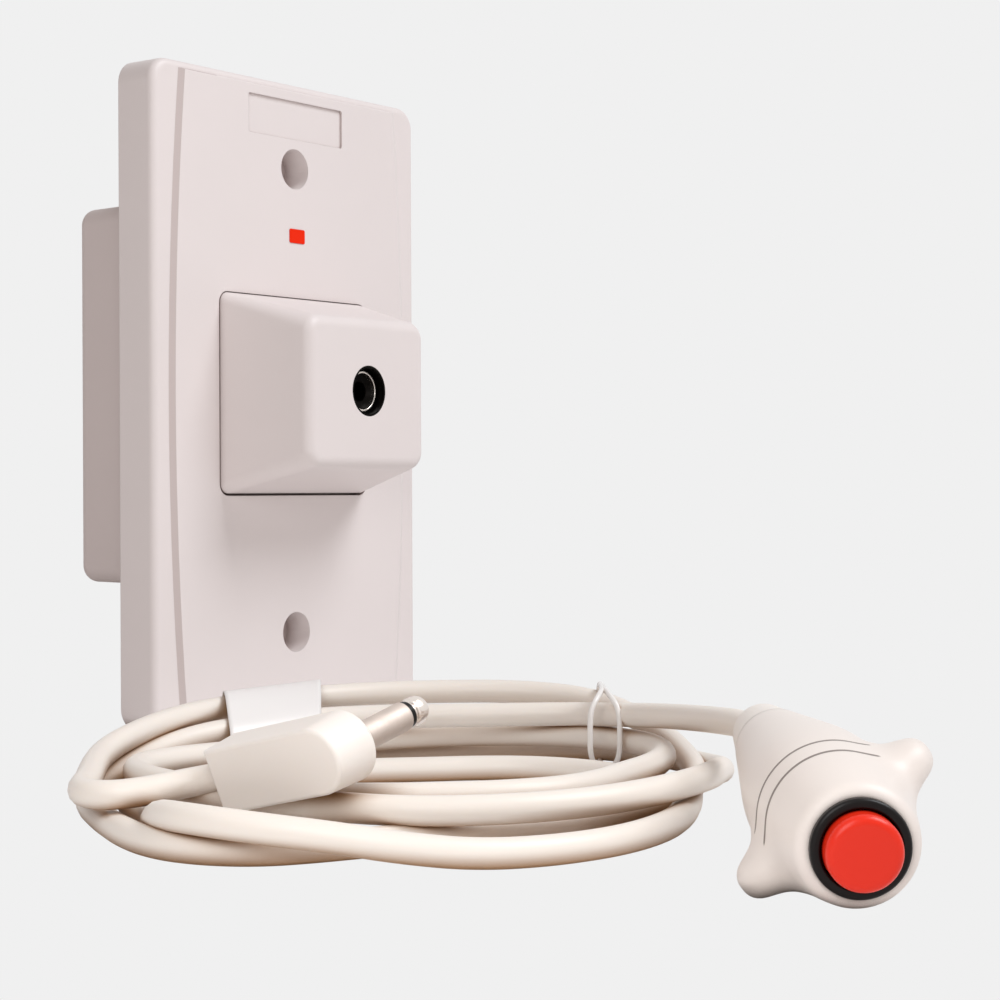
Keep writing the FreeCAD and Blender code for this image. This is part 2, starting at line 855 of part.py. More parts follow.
def make_circuit_board():
    """The board, notched at its corners for the box's posts, with its screw holes."""
    body = new_body("circuit_board")
    back = size.board_front + size.board_thick
    middle = (0, size.board_foot + size.board_tall / 2)
    sheet_outline = drawing_on(body, "XZ_Plane", -back)
    rounded_box(sheet_outline, size.board_wide, size.board_tall, size.board_corner, middle)
    pad(body, sheet_outline, size.board_thick)
    notches = drawing_on(body, "XZ_Plane", -back)
    circles(notches, size.board_notch, *box_post_places())
    pocket(body, notches, size.board_thick + 1, toward_normal=True)
    holes = drawing_on(body, "XZ_Plane", -back)
    circles(holes, size.board_screw_shank + size.screw_clearance, *board_screw_places())
    pocket(body, holes, size.board_thick + 1, toward_normal=True)


def make_board_pieces():
    """What the board carries: the radio module, its wire antenna, the lamp and its window."""
    back = size.board_front + size.board_thick
    base = block("module_board", size.module_wide, size.module_base, size.module_tall,
                 (-size.module_wide / 2, back, size.module_foot))
    can = block(
        "module_shield", size.module_wide - size.module_rim * 4, size.module_can,
        size.module_tall - size.module_rim * 2,
        (-size.module_wide / 2 + size.module_rim, back + size.module_base, size.module_foot + size.module_rim),
    )
    join("radio_module", [base, can])
    side = number(size.antenna_side)
    behind = number(size.antenna_back)
    low, high = number(size.antenna_low), number(size.antenna_high)
    tube("antenna", [
        (side, number(back), low), (side, behind, low + number(size.antenna_foot)),
        (side, behind + number(size.antenna_lean), low + number(size.antenna_bend)),
        (side, behind + number(size.antenna_lean_end), high),
    ], size.antenna_wire)

    lamp_height = number(size.window_height - size.lamp_drop)
    lamp_place = Placement(Vector(number(size.badge_side), number(size.board_front), lamp_height),
                           Rotation(Vector(0, 0, 1), -90))
    turned("indicator_led", [
        (0, 0), (size.lamp_long, 0),
        (size.lamp_long - size.lamp_dome, size.lamp_radius, dome(size.lamp_radius, size.lamp_dome)),
        (0, size.lamp_radius),
    ], lamp_place)

    window = new_body("indicator_window")
    inner = size.plate_front - size.plate_deep / 2
    middle = (size.badge_side, size.window_height)
    flange = drawing_on(window, "XZ_Plane", -inner - size.window_flange_thick)
    rounded_box(flange, size.window_wide + size.window_flange * 2, size.window_tall + size.window_flange * 2,
                size.window_corner, middle)
    pad(window, flange, size.window_flange_thick)
    lens = drawing_on(window, "XZ_Plane", -inner)
    rounded_box(lens, size.window_wide, size.window_tall, size.window_corner, middle)
    pad(window, lens, size.plate_front + size.window_proud)


def make_battery():
    """The cylinder cell, the cradle that holds it and the two contact strips at its ends."""
    foot = number(size.battery_foot)
    place = Placement(Vector(0, number(size.battery_back), foot), Rotation())
    tall = size.battery_long
    nub_top = size.battery_long + size.battery_nub_tall
    low, high = size.battery_foot_round, size.battery_top_round
    turned("battery", [
        (0, 0), (size.battery_radius - low, 0), (size.battery_radius, low, low),
        (size.battery_radius, tall - high), (size.battery_radius - high, tall, high),
        (size.battery_nub, tall), (size.battery_nub, nub_top), (0, nub_top),
    ], place, "V_Axis", "XZ_Plane")
    back = size.board_front + size.board_thick
    half = size.cradle_wide / 2
    frame = block("cradle_block", size.cradle_wide, size.cradle_deep, size.cradle_tall,
                  (-half, back, size.cradle_foot))
    room = size.battery_long + size.battery_nub_tall + size.contact_strip * 2
    trough_foot = size.battery_foot - size.contact_strip
    trough = rod("cradle_trough", size.battery_radius + size.cradle_gap, room,
                 (0, size.battery_back, trough_foot))
    cut("battery_holder", frame, trough)
    contact_front = size.battery_back - size.contact_deep
    for label, height in (
        ("battery_contact_lower", trough_foot),
        ("battery_contact_upper", trough_foot + room - size.contact_strip),
    ):
        block(label, size.contact_wide, size.contact_deep, size.contact_strip,
              (-size.contact_wide / 2, contact_front, height))


def at_wing_end(edge):
    """The wings' inner end, which lies inside the turned body."""
    return edge.BoundBox.XMin > number(size.wing_end) - 0.1


def make_grip():
    """The pear-shaped housing: a turned body with finger wings, two grooves on each side, bored through."""
    core = turned("grip_core", [
        (0, 0), (size.grip_long, 0), (size.grip_long, size.grip_tail),
        (size.grip_shoulder_at, size.grip_shoulder), (size.grip_lip_at, size.grip_lip, size.grip_bulge),
        (0, size.grip_face, size.grip_face_round),
    ])
    grooved = core
    for row in range(2):
        for side in (-1, 1):
            place = Placement(
                Vector(number(size.groove_first + size.groove_step * row), 0, -side * number(size.groove_shift)),
                Rotation(Vector(0, 0, 1), Vector(1, 0, 0)),
            )
            reach = size.groove_ring + size.groove_ring_growth * row
            tool = ring(f"groove_ring_{row}_{side + 1}", reach, size.groove_wire, place)
            grooved = cut(f"grip_grooved_{row}_{side + 1}", grooved, tool)
    wings = new_body("grip_wings")
    shape = drawing_on(wings, "XY_Plane", -size.wing_thick / 2)
    tip = size.wing_tip
    tip_y = tip - size.wing_tip_radius
    front = size.wing_tip_at - size.wing_tip_radius
    outline(
        shape,
        (front, -tip_y), (size.wing_tip_at, -tip, size.wing_tip_radius),
        (size.wing_heel_at, -size.wing_heel, size.wing_tip_radius),
        (size.wing_end, -size.wing_root, -size.wing_hollow), (size.wing_end, size.wing_root),
        (size.wing_heel_at, size.wing_heel, -size.wing_hollow),
        (size.wing_tip_at, tip, size.wing_tip_radius), (front, tip_y, size.wing_tip_radius),
    )
    pad(wings, shape, size.wing_thick)
    for side in (-1, 1):
        face_edge = lies_at("Z", size.wing_thick / 2 * side)
        round_edges(wings, size.wing_edge_round, lambda edge: face_edge(edge) and not at_wing_end(edge))
    whole = join("grip_whole", [grooved, wings])
    along = Vector(1, 0, 0)
    start = -size.grip_lip_at
    zero = 0
    mouth = (start, zero, zero)
    wide = rod("grip_wide_bore", size.grip_bore, size.grip_bore_long + size.grip_lip_at, mouth, along)
    narrow = rod("grip_cord_bore", size.cord_bore, size.grip_long + size.grip_lip_at * 2, mouth, along)
    bores = join("grip_bores", [wide, narrow])
    cut("pendant_housing", whole, bores, GRIP_PLACE)


def make_grip_pieces():
    """The strain relief, the button with its spring, and the switch behind it."""
    end = size.grip_long + size.relief_long
    turned("strain_relief", [
        (size.grip_long - size.relief_spigot, 0), (end, 0), (end, size.relief_end - size.relief_round),
        (end - size.relief_round, size.relief_end, size.relief_round), (size.grip_long, size.relief_start),
        (size.grip_long, size.cord_bore), (size.grip_long - size.relief_spigot, size.cord_bore),
    ], GRIP_PLACE)
    flange_front = -size.bezel_flange_thick
    soft = size.bezel_round
    turned("button_bezel", [
        (size.bezel_well, size.bezel_bore), (size.bezel_well, size.bezel_web_hole),
        (size.bezel_long, size.bezel_web_hole), (size.bezel_long, size.grip_bore), (0, size.grip_bore),
        (0, size.bezel_flange), (flange_front + soft, size.bezel_flange),
        (flange_front, size.bezel_flange - soft, soft), (flange_front, size.bezel_bore + soft * 0.5),
        (flange_front + soft * 0.5, size.bezel_bore, soft * 0.5),
    ], GRIP_PLACE)
    face = -size.cap_proud
    soft = size.cap_round
    turned("button_cap", [
        (face, 0), (size.stem_end, 0),
        (size.stem_end, size.stem_radius), (size.cap_skirt, size.stem_radius),
        (size.cap_skirt, size.cap_radius), (face + soft, size.cap_radius),
        (face, size.cap_radius - soft, soft),
    ], GRIP_PLACE)
    turned("contact_bridge", [
        (size.stem_end, 0), (size.stem_end + size.bridge_thick, 0),
        (size.stem_end + size.bridge_thick, size.bridge_radius), (size.stem_end, size.bridge_radius),
    ], GRIP_PLACE)
    turned("switch_body", [
        (size.bezel_long, size.switch_cavity), (size.switch_floor, size.switch_cavity),
        (size.switch_floor, 0), (size.switch_end, 0), (size.switch_end, size.switch_radius),
        (size.bezel_long, size.switch_radius),
    ], GRIP_PLACE)
    bore_switch_for_pins()
    for label, side in (("fixed_contact_left", 1), ("fixed_contact_right", -1)):
        offset = Placement(Vector(0, side * number(size.pin_side), 0), Rotation())
        turned(label, [
            (size.pin_head_at, 0), (size.pin_end, 0), (size.pin_end, size.pin_radius),
            (size.pin_head_at + size.pin_head_thick, size.pin_radius),
            (size.pin_head_at + size.pin_head_thick, size.pin_head), (size.pin_head_at, size.pin_head),
        ], GRIP_PLACE.multiply(offset))
    make_return_spring()


def bore_switch_for_pins():
    switch = doc.getObject("switch_body")
    holes = drawing_on(switch, "YZ_Plane", size.switch_end)
    circles(holes, size.pin_radius, (size.pin_side, 0), (-size.pin_side, 0))
    pocket(switch, holes, size.switch_end - size.switch_floor + size.cut_margin)


def make_return_spring():
    """A round-wire coil between the cap's skirt and the bezel's web."""
    wire = number(size.spring_wire)
    low = number(size.cap_skirt) + wire
    high = number(size.bezel_well) - wire
    radius = number(size.spring_radius)
    points = int(number(size.spring_turns)) * SPRING_POINTS
    route = []
    for index in range(points + 1):
        angle = 2 * math.pi * index / SPRING_POINTS
        along = low + (high - low) * index / points
        route.append((along, radius * math.cos(angle), radius * math.sin(angle)))
    tube("return_spring", route, size.spring_wire).Placement = GRIP_PLACE


def make_plug():
    """The flat right-angle plug: a flared body rounded at one end, and a two-pole shank with a ball tip."""
    body = new_body("plug_body", PLUG_PLACE)
    deep, back, front = size.plug_body_deep, size.plug_back_half, size.plug_front_half
    profile = drawing_on(body, "XZ_Plane")
    outline(profile, (0, -back), (deep, -front), (deep, front), (0, back))
    made, check = feature(body, "Pad", profile, True)
    bind(made, "Length", size.plug_body_long)
    made.Reversed = True
    check()
    end = drawing_on(body, "XZ_Plane")
    outline(end, (0, 0), (deep, 0), (deep, front), (0, back))
    turn(body, end)
    round_edges(body, size.plug_round, lies_at("X", 0))
    round_edges(body, size.plug_round, lies_at("X", size.plug_body_deep))

    base = size.plug_body_deep
    sleeve_end = base + size.sleeve_long
    ring_end = sleeve_end + size.insulator_long
    seat = sleeve_end - size.sleeve_bore_deep
    turned("plug_sleeve", [
        (base, 0), (seat, 0), (seat, size.sleeve_bore), (sleeve_end, size.sleeve_bore),
        (sleeve_end, size.shank_radius), (base, size.shank_radius),
    ], PLUG_PLACE)
    turned("plug_insulator", [
        (seat, size.tip_rod), (ring_end, size.tip_rod), (ring_end, size.insulator_radius),
        (sleeve_end, size.insulator_radius), (sleeve_end, size.sleeve_bore), (seat, size.sleeve_bore),
    ], PLUG_PLACE)
    tip_end = ring_end + size.tip_long
    turned("plug_tip", [
        (seat, 0), (tip_end, 0),
        (tip_end - size.ball_rise, size.ball_half, dome(size.ball_half, size.ball_rise)),
        (ring_end + size.tip_shoulder_end, size.shank_radius),
        (ring_end + size.tip_shoulder, size.shank_radius), (ring_end + size.tip_neck_end, size.tip_neck),
        (ring_end + size.tip_neck_start, size.tip_neck), (ring_end, size.insulator_radius),
        (ring_end, size.tip_rod), (seat, size.tip_rod),
    ], PLUG_PLACE)


def egg(drawing, front_radius, back_radius, stretch):
    """The outline round two circles of different size, joined by their common tangents."""
    lean = (back_radius.value - front_radius.value) / stretch.value
    rise = math.sqrt(1 - lean * lean)
    front = (front_radius * -lean, front_radius * rise)
    back = (stretch - back_radius * lean, back_radius * rise)
    outline(
        drawing,
        (front[0], -front[1], front_radius), (back[0], -back[1]),
        (stretch + back_radius, 0, back_radius), (back[0], back[1], back_radius),
        (front[0], front[1]), (-front_radius, 0, front_radius),
    )


def make_coil():
    """The outer shape of the coiled cord: a low ring, thin in front and thicker at the back."""
    body = new_body("cord_coil", COIL_PLACE)
    shape = drawing_on(body, "XY_Plane")
    egg(shape, size.coil_front_radius, size.coil_back_radius, size.coil_stretch)
    pad(body, shape, size.coil_back_tall)
    hole = drawing_on(body, "XY_Plane")
    egg(hole, size.coil_hole_front, size.coil_hole_back, size.coil_stretch)
    pocket(body, hole, size.coil_back_tall + 1, toward_normal=True)
    slope = drawing_on(body, "XZ_Plane")
    front = -size.coil_front_radius - 5
    over = size.coil_back_tall + 5
    outline(
        slope,
        (front, size.coil_front_tall), (size.coil_flat_end, size.coil_front_tall),
        (size.coil_rise_end, size.coil_back_tall), (size.coil_rise_end, over), (front, over),
    )
    made, check = feature(body, "Pocket", slope, False)
    bind(made, "Length", size.coil_back_radius * 3)
    made.SideType = "Symmetric"
    check()


def label_place():
    """The label lies flat on the coil's slope."""
    run = number(size.coil_rise_end - size.coil_flat_end)
    rise = number(size.coil_back_tall - size.coil_front_tall)
    at = number(size.label_at)
    height = number(size.coil_front_tall) + rise * (at - number(size.coil_flat_end)) / run
    tilt = -math.degrees(math.atan2(rise, run))
    return COIL_PLACE.multiply(Placement(Vector(at, number(size.label_side), height), Rotation(0, tilt, 0)))


def make_cord_pieces():
    tube("cord_tail", TAIL_ROUTE, size.cord_radius)
    tube("cord_lead", LEAD_ROUTE, size.cord_radius)
    ring("cord_tie", size.tie_radius, size.tie_wire, TIE_PLACE)
    label = new_body("cord_label", label_place())
    shape = drawing_on(label, "XY_Plane")
    rounded_box(shape, size.label_long, size.label_wide, size.label_corner, (0, 0))
    pad(label, shape, size.label_thick)


NODES = [
    "wall_plate", "jack_housing", "rear_box", "circuit_board", "radio_module", "antenna",
    "battery", "battery_holder", "battery_contact_upper", "battery_contact_lower",
    "housing_screws", "board_screws", "indicator_window", "indicator_led",
    "jack_body", "jack_ferrule", "jack_tip_spring",
    "pendant_housing", "strain_relief", "button_bezel", "button_cap", "contact_bridge",
    "return_spring", "switch_body", "fixed_contact_left", "fixed_contact_right",
    "plug_body", "plug_sleeve", "plug_insulator", "plug_tip",
    "cord_tail", "cord_coil", "cord_lead", "cord_tie", "cord_label",
]


def check_and_write():
    """Stops on a failed feature or a bad solid, then writes one file for each sub-part."""
    doc.recompute()
    for item in doc.Objects:
        if "Invalid" in item.State or "Error" in item.State:
            problems.append(f"{item.Label} has the state {item.State}")
    for name in NODES:
        shape = doc.getObject(name).Shape
        if shape.isNull() or not shape.isValid() or not shape.Solids:
            problems.append(f"{name} is not a sound solid")
    if problems:
        raise SystemExit("\n".join(problems))
    os.makedirs("parts", exist_ok=True)
    for name in NODES:
        shape = doc.getObject(name).Shape
        shape.exportStep(f"parts/{name}.step")
        print(name, "solids", len(shape.Solids), "volume", round(shape.Volume, 1))


fill_sheet()
make_wall_plate()
make_jack_housing()
make_jack()
make_rear_box()
make_circuit_board()
make_board_pieces()
make_battery()
make_screws("housing_screws", box_post_places(), size.box_screw_seat, size.box_screw_head,
            size.box_screw_head_tall, size.box_screw_shank, size.box_screw_long)
make_screws("board_screws", board_screw_places(), size.board_front + size.board_thick, size.board_screw_head,
            size.board_screw_head_tall, size.board_screw_shank, size.board_screw_long)
make_grip()
make_grip_pieces()
make_plug()
make_coil()
make_cord_pieces()
check_and_write()
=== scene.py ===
# %% [markdown]
# # Wall call station with its hand button
#
# A plate on the wall carries a radio box behind it and a raised socket in front, and the hand
# button plugs into that socket with its cord. The frame holds the solids of all its pieces, which
# stay where they are and only get their finishes. A few pieces are made anew, because solids show
# them too stiffly: the cord, the hand button's housing, the plug's ball tip, the tie and the
# label. In the end the set is lit as in a studio picture.

import json
import math

import bmesh
import bpy
import numpy as np
from mathutils import Euler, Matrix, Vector


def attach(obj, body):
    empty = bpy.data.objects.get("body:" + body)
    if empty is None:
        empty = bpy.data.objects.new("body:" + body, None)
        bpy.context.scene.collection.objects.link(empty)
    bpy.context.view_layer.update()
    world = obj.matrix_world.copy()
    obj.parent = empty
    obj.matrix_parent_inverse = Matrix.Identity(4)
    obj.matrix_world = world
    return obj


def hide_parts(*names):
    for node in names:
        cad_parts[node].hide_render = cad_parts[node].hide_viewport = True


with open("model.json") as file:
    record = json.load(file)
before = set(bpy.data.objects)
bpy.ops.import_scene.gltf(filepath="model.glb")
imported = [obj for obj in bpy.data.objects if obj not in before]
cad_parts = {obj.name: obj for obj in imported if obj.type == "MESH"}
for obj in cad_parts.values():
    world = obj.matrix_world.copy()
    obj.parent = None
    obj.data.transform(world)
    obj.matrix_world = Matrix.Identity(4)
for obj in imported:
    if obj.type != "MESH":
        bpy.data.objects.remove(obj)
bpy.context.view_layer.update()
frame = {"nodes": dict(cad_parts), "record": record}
nodes = frame["nodes"]
MM = 0.001
print("solids in the frame:", len(nodes))

# %% [markdown]
# ## Camera
#
# The picture is taken from the left of the plate, a little above the floor, with the camera nearly
# level. A camera could be aimed by a target that it tracks. Here its place and its three angles
# are given, because they were fitted to the plate's real size, 69.85 by 114.3 mm, and a target
# would hide how they belong together.

# %% Camera
CAMERA_PLACE = (-0.2967, -0.27015, 0.0408)
CAMERA_HEADING = 53.44
CAMERA_TILT = -0.24
CAMERA_ROLL = 0.21
CAMERA_LENS = 79.2
CAMERA_SENSOR = 36.0
CAMERA_NEAR = 0.01
CAMERA_FAR = 10.0


def link_object(name, data):
    """A new object in the scene for this camera, light, mesh or curve."""
    made = bpy.data.objects.new(name, data)
    bpy.context.scene.collection.objects.link(made)
    return made


def place_camera():
    """The picture's camera, with its heading turned from +Y towards +X and its tilt upwards.

    A camera without a turn looks straight down, so ninety degrees come before its tilt.
    """
    data = bpy.data.cameras.new("picture_camera")
    data.lens = CAMERA_LENS
    data.sensor_width = CAMERA_SENSOR
    data.clip_start = CAMERA_NEAR
    data.clip_end = CAMERA_FAR
    camera = link_object("picture_camera", data)
    camera.location = CAMERA_PLACE
    angles = (90 + CAMERA_TILT, CAMERA_ROLL, -CAMERA_HEADING)
    camera.rotation_euler = [math.radians(angle) for angle in angles]
    bpy.context.scene.camera = camera


place_camera()
print(f"camera: {CAMERA_LENS} mm lens, {CAMERA_HEADING} degrees from +Y towards +X")

# %% [markdown]
# ## Route of the cord
#
# The real cord is 3.5 mm of soft vinyl. It leaves the hand button, lies in a loose coil of four
# and a half turns and ends in the plug. Where it runs free, its route is a list of given points.
# Its coil could be a plain spiral, but real turns cross and lean on each other. So each
# turn goes round one middle through stations of its own, and a loop lays them all.

# %% Route of the cord
CORD_THICK = 3.5 * MM
COIL_MIDDLE = (-72.1, -91.15)
STEPS_PER_STATION = 2

# Places in mm. The tail's run from the hand button to the coil, and the lead's from the plug to
# the coil.
TAIL_ROUTE = [
    (-66.1, -137.9, 11.7), (-59.3, -131.9, 11.7), (-52.1, -124.0, 11.1), (-43.7, -113.5, 10.2),
    (-37.1, -103.1, 9.3), (-33.2, -93.4, 8.5), (-31.6, -86.5, 8.1),
]
LEAD_ROUTE = [
    (-109.36, -92.03, 7.82), (-109.2, -88.6, 7.05), (-111.2, -85.4, 6.35), (-115.0, -83.6, 5.8),
    (-118.2, -80.9, 5.45), (-118.3, -76.8, 5.4), (-115.3, -73.1, 5.4), (-110.3, -68.9, 5.45),
    (-104.9, -63.8, 5.8),
]

# One row for each turn, from the tail's end round to the left. A station has its angle in degrees
# from the picture's right towards the back, its reach from the coil's middle and its height in mm.
TURNS = [
    [(90, 34.0, 8.0), (120, 35.5, 7.8), (150, 39.0, 6.4), (180, 42.8, 2.7), (210, 44.2, 1.75),
     (226, 48.0, 1.75), (240, 52.2, 1.75), (252, 50.6, 1.75), (264, 42.6, 1.75), (282, 37.0, 1.75),
     (300, 36.2, 1.75), (325, 34.2, 1.75)],
    [(0, 29.8, 1.75), (30, 29.4, 1.75), (60, 26.4, 1.75), (90, 21.6, 1.75), (120, 22.6, 1.75),
     (150, 26.2, 1.75), (180, 30.6, 1.75), (210, 30.6, 2.5), (240, 31.0, 4.6), (270, 35.4, 5.7),
     (300, 34.6, 5.7), (330, 29.0, 5.5)],
    [(0, 30.5, 5.2), (30, 36.4, 5.2), (60, 41.4, 4.9), (90, 38.9, 4.6), (120, 35.0, 4.3),
     (150, 33.0, 4.6), (180, 37.0, 5.2), (210, 37.6, 5.6), (240, 36.4, 5.2), (270, 41.2, 4.95),
     (300, 41.4, 5.2), (330, 38.8, 5.4)],
    [(0, 38.2, 4.15), (30, 45.3, 2.0), (60, 47.6, 2.5), (90, 42.3, 1.75), (120, 39.7, 1.75),
     (150, 38.2, 1.75), (180, 38.6, 1.75), (210, 38.6, 1.75), (224, 42.6, 2.3), (234, 48.6, 4.4),
     (241, 52.3, 5.1), (249, 54.0, 5.0), (262, 53.6, 3.9), (278, 52.6, 1.9), (300, 47.8, 1.75),
     (330, 37.6, 1.75)],
    [(0, 34.6, 1.85), (30, 42.2, 3.0), (60, 48.8, 9.6), (90, 45.6, 10.5), (120, 43.0, 10.1),
     (150, 41.4, 9.1), (180, 42.4, 6.4)],
]


def between_stations(values, count):
    """Values on a smooth curve through the given ones, with count steps from one to the next.

    Each step mixes four neighbours by the Catmull-Rom formula.
    """
    given = np.array([values[0], *values, values[-1]])
    step = np.arange(count)[None, :, None] / count
    a, b, c, d = (given[i:len(given) - 3 + i, None, :] for i in range(4))
    bend = 2 * a - 5 * b + 4 * c - d + step * (3 * (b - c) + d - a)
    curve = b + 0.5 * step * (c - a + step * bend)
    return np.concatenate([curve.reshape(-1, given.shape[1]), given[-1:]])


def turn_points():
    """The turns' points: each lies at its reach from the middle, in its direction, at its height."""
    stations = [(360 * row + angle, reach, height)
                for row, turn in enumerate(TURNS) for angle, reach, height in turn]
    turned, reach, height = between_stations(stations, STEPS_PER_STATION).T
    angle = np.radians(turned - CAMERA_HEADING)
    side = COIL_MIDDLE[0] + reach * np.cos(angle)
    front = COIL_MIDDLE[1] + reach * np.sin(angle)
    return np.stack([side, front, height], axis=-1)


cord_route = np.concatenate([TAIL_ROUTE, turn_points(), LEAD_ROUTE[::-1]]) * MM
route_long = np.linalg.norm(np.diff(cord_route, axis=0), axis=1).sum()
print(f"cord's route: {len(cord_route)} points, {route_long:.2f} m along them")

# %% [markdown]
# ## Cord
#
# A tube could be skinned over rings of points. A curve with a round profile is better for a cord:
# it is smooth along any route, it keeps its thickness in every bend, and its length can be
# measured.

# %% Cord
CORD_ROUNDNESS = 5
CORD_SMOOTHNESS = 8


def make_cord():
    """The cord as one smooth line that the points of its route pull on, with a round profile.

    Its points carry the cord's own radius, so the round profile's depth is one.
    """
    curve = bpy.data.curves.new("cord", "CURVE")
    curve.dimensions = "3D"
    curve.bevel_depth = 1.0
    curve.bevel_resolution = CORD_ROUNDNESS
    curve.resolution_u = CORD_SMOOTHNESS
    curve.use_fill_caps = True
    line = curve.splines.new("NURBS")
    line.points.add(len(cord_route) - 1)
    line.points.foreach_set("co", np.column_stack([cord_route, np.ones(len(cord_route))]).ravel())
    line.points.foreach_set("radius", np.full(len(cord_route), CORD_THICK / 2))
    line.order_u = 3
    line.use_endpoint_u = True
    return link_object("cord", curve)


cord = make_cord()
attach(cord, "root")
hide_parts("cord_tail", "cord_coil", "cord_lead")

# %% [markdown]
# ## Skins over a grid of points
#
# The hand button's housing, the ball tip, the tie and the label are skins. Each is worked out as
# rows and columns of points, all at once, and one function joins neighbouring points by faces.
# Points that fall together, as at the front of a ball, are welded, so that no skin has a seam.

# %% Skins over a grid of points
WELD = 0.0001 * MM


def grid_mesh(name, points, round_across=False, round_along=False):
    """A smooth skin over rows and columns of points in metres.

    Each face joins a point to the next one in its row and to the two above them. Where the skin
    closes, the last column or row joins the first.
    """
    rows, columns = points.shape[:2]
    index = np.arange(rows * columns).reshape(rows, columns)
    if round_across:
        index = np.column_stack([index, index[:, 0]])
    if round_along:
        index = np.vstack([index, index[:1]])
    faces = np.stack([index[:-1, :-1], index[:-1, 1:], index[1:, 1:], index[1:, :-1]], axis=-1)
    mesh = bpy.data.meshes.new(name)
    mesh.from_pydata(points.reshape(-1, 3).tolist(), [], faces.reshape(-1, 4).tolist())
    skin = bmesh.new()
    skin.from_mesh(mesh)
    bmesh.ops.remove_doubles(skin, verts=skin.verts, dist=WELD)
    skin.to_mesh(mesh)
    skin.free()
    mesh.shade_smooth()
    wide, deep, tall = np.ptp(points.reshape(-1, 3), axis=0) / MM
    print(f"{name}: {rows} rows of {columns} points, {wide:.1f} x {deep:.1f} x {tall:.1f} mm")
    return mesh


def placed(name, points, place, turn):
    """A skin round its own axis x, in mm, turned by these degrees and moved to its place."""
    turned = np.array(Euler([math.radians(angle) for angle in turn]).to_matrix())
    return link_object(name, grid_mesh(name, (points @ turned.T + place) * MM, round_across=True))


# %% [markdown]
# ## Pear shape of the hand button
#
# The hand button's housing is a turned pear shape with a flat finger wing on each side. A turned
# shape could be a profile spun round an axis. This one is a formula instead, which says how far
# any place is outside it, because the wings have to melt into it later. It lies along x, from
# the button's end, and all its sizes are in mm.

# %% Pear shape of the hand button
GRIP_LONG = 46.5
# The lip and the shoulder: a place along the axis, and the radius there.
GRIP_LIP = (1.0, 6.13)
GRIP_SHOULDER = (26.5, 7.184)
GRIP_TAIL = 4.79
GRIP_BULGE = 80.0
GRIP_FACE_BLEND = 1.29


def softly_least(one, other, blend):
    """The lesser of two values, less up to a quarter of the blend where they are nearly alike."""
    share = np.clip(0.5 + 0.5 * (other - one) / blend, 0, 1)
    return other + (one - other) * share - blend * share * (1 - share)


def pear_gap(along, out):
    """How far a place is outside the turned shape, from its place along the axis and out of it.

    The radius follows an arc from the lip to the shoulder, and then a straight line to the tail.
    """
    middle = (GRIP_LIP[0] + GRIP_SHOULDER[0]) / 2
    half = (GRIP_SHOULDER[0] - GRIP_LIP[0]) / 2
    slope = (GRIP_SHOULDER[1] - GRIP_LIP[1]) / (2 * half)
    level = GRIP_LIP[1] + slope * (along - GRIP_LIP[0])
    bulge = np.sqrt(GRIP_BULGE ** 2 - (along - middle) ** 2) - math.sqrt(GRIP_BULGE ** 2 - half ** 2)
    fall = (GRIP_TAIL - GRIP_SHOULDER[1]) / (GRIP_LONG - GRIP_SHOULDER[0])
    cone = GRIP_SHOULDER[1] + fall * (along - GRIP_SHOULDER[0])
    radius = np.where(along < GRIP_SHOULDER[0], level + bulge, cone)
    sides = -softly_least(radius - out, along, GRIP_FACE_BLEND)
    return np.maximum(sides, along - GRIP_LONG)


print(f"pear: {GRIP_LONG} mm long, {2 * GRIP_SHOULDER[1]:.1f} mm thick at its shoulder")

# %% [markdown]
# ## Wings of the hand button
#
# The wings let two fingers hold the button while the thumb presses it. They are flat, rounded all
# over, and grow out of the housing softly. Two joined meshes would show a crease at their roots.
# The lesser of the two shapes' gaps, rounded off where they are nearly alike, has none.

# %% Wings of the hand button
WING_TIP = (12.3, 8.25)
WING_ROOT_AT = 15.0
# Half of a wing's length and thickness, at its root and at its tip.
WING_HALF_LONG = (6.2, 3.4)
WING_HALF_THICK = (2.5, 2.25)
WING_FULLNESS = 2.5
WING_BLEND = 2.8


def wing_gap(along, across, up):
    """How far a place is outside the wings, which get shorter and thinner out to their tips.

    A cut through a wing is the rounded slab x^n + z^n = 1, with x and z in parts of its half
    length and half thickness.
    """
    out = np.abs(across)
    part = np.clip(out / WING_TIP[1], 0, 1)
    middle = WING_ROOT_AT + (WING_TIP[0] - WING_ROOT_AT) * part
    long = WING_HALF_LONG[0] + (WING_HALF_LONG[1] - WING_HALF_LONG[0]) * part
    thick = WING_HALF_THICK[0] + (WING_HALF_THICK[1] - WING_HALF_THICK[0]) * part
    plan = np.hypot((along - middle) / long, np.maximum(out - WING_TIP[1], 0) / WING_HALF_LONG[1])
    full = WING_FULLNESS
    return ((plan ** full + np.abs(up / thick) ** full) ** (1 / full) - 1) * thick


def grip_gap(spot):
    """How far places are outside the housing: the soft blend of the pear and the wings."""
    along, across, up = np.moveaxis(spot, -1, 0)
    pear = pear_gap(along, np.hypot(across, up))
    return softly_least(pear, wing_gap(along, across, up), WING_BLEND)


print(f"wings: {2 * (WING_TIP[1] + WING_HALF_LONG[1]):.1f} mm across both")

# %% [markdown]
# ## Skin of the hand button
#
# A shape that is a formula could be cut out of small cubes, but their edges would show in the
# highlights. Instead, rays go out from one place inside. Each is halved again and again towards
# the place where the formula is zero. The skin gets even rows round its axis, as a turned and
# polished shape has.

# %% Skin of the hand button
GRIP_PLACE = (-110.1, -173.87, 7.0)
GRIP_TURN = (-37.5, -4.73, 39.05)
GRIP_BORE = 4.65
GRIP_MOUTH_DEPTHS = (3.0, 0.4)
RAYS_FROM = 16.0
RAYS_ALONG = 200
RAYS_AROUND = 240
RAY_LONG = 40.0
HALVINGS = 30


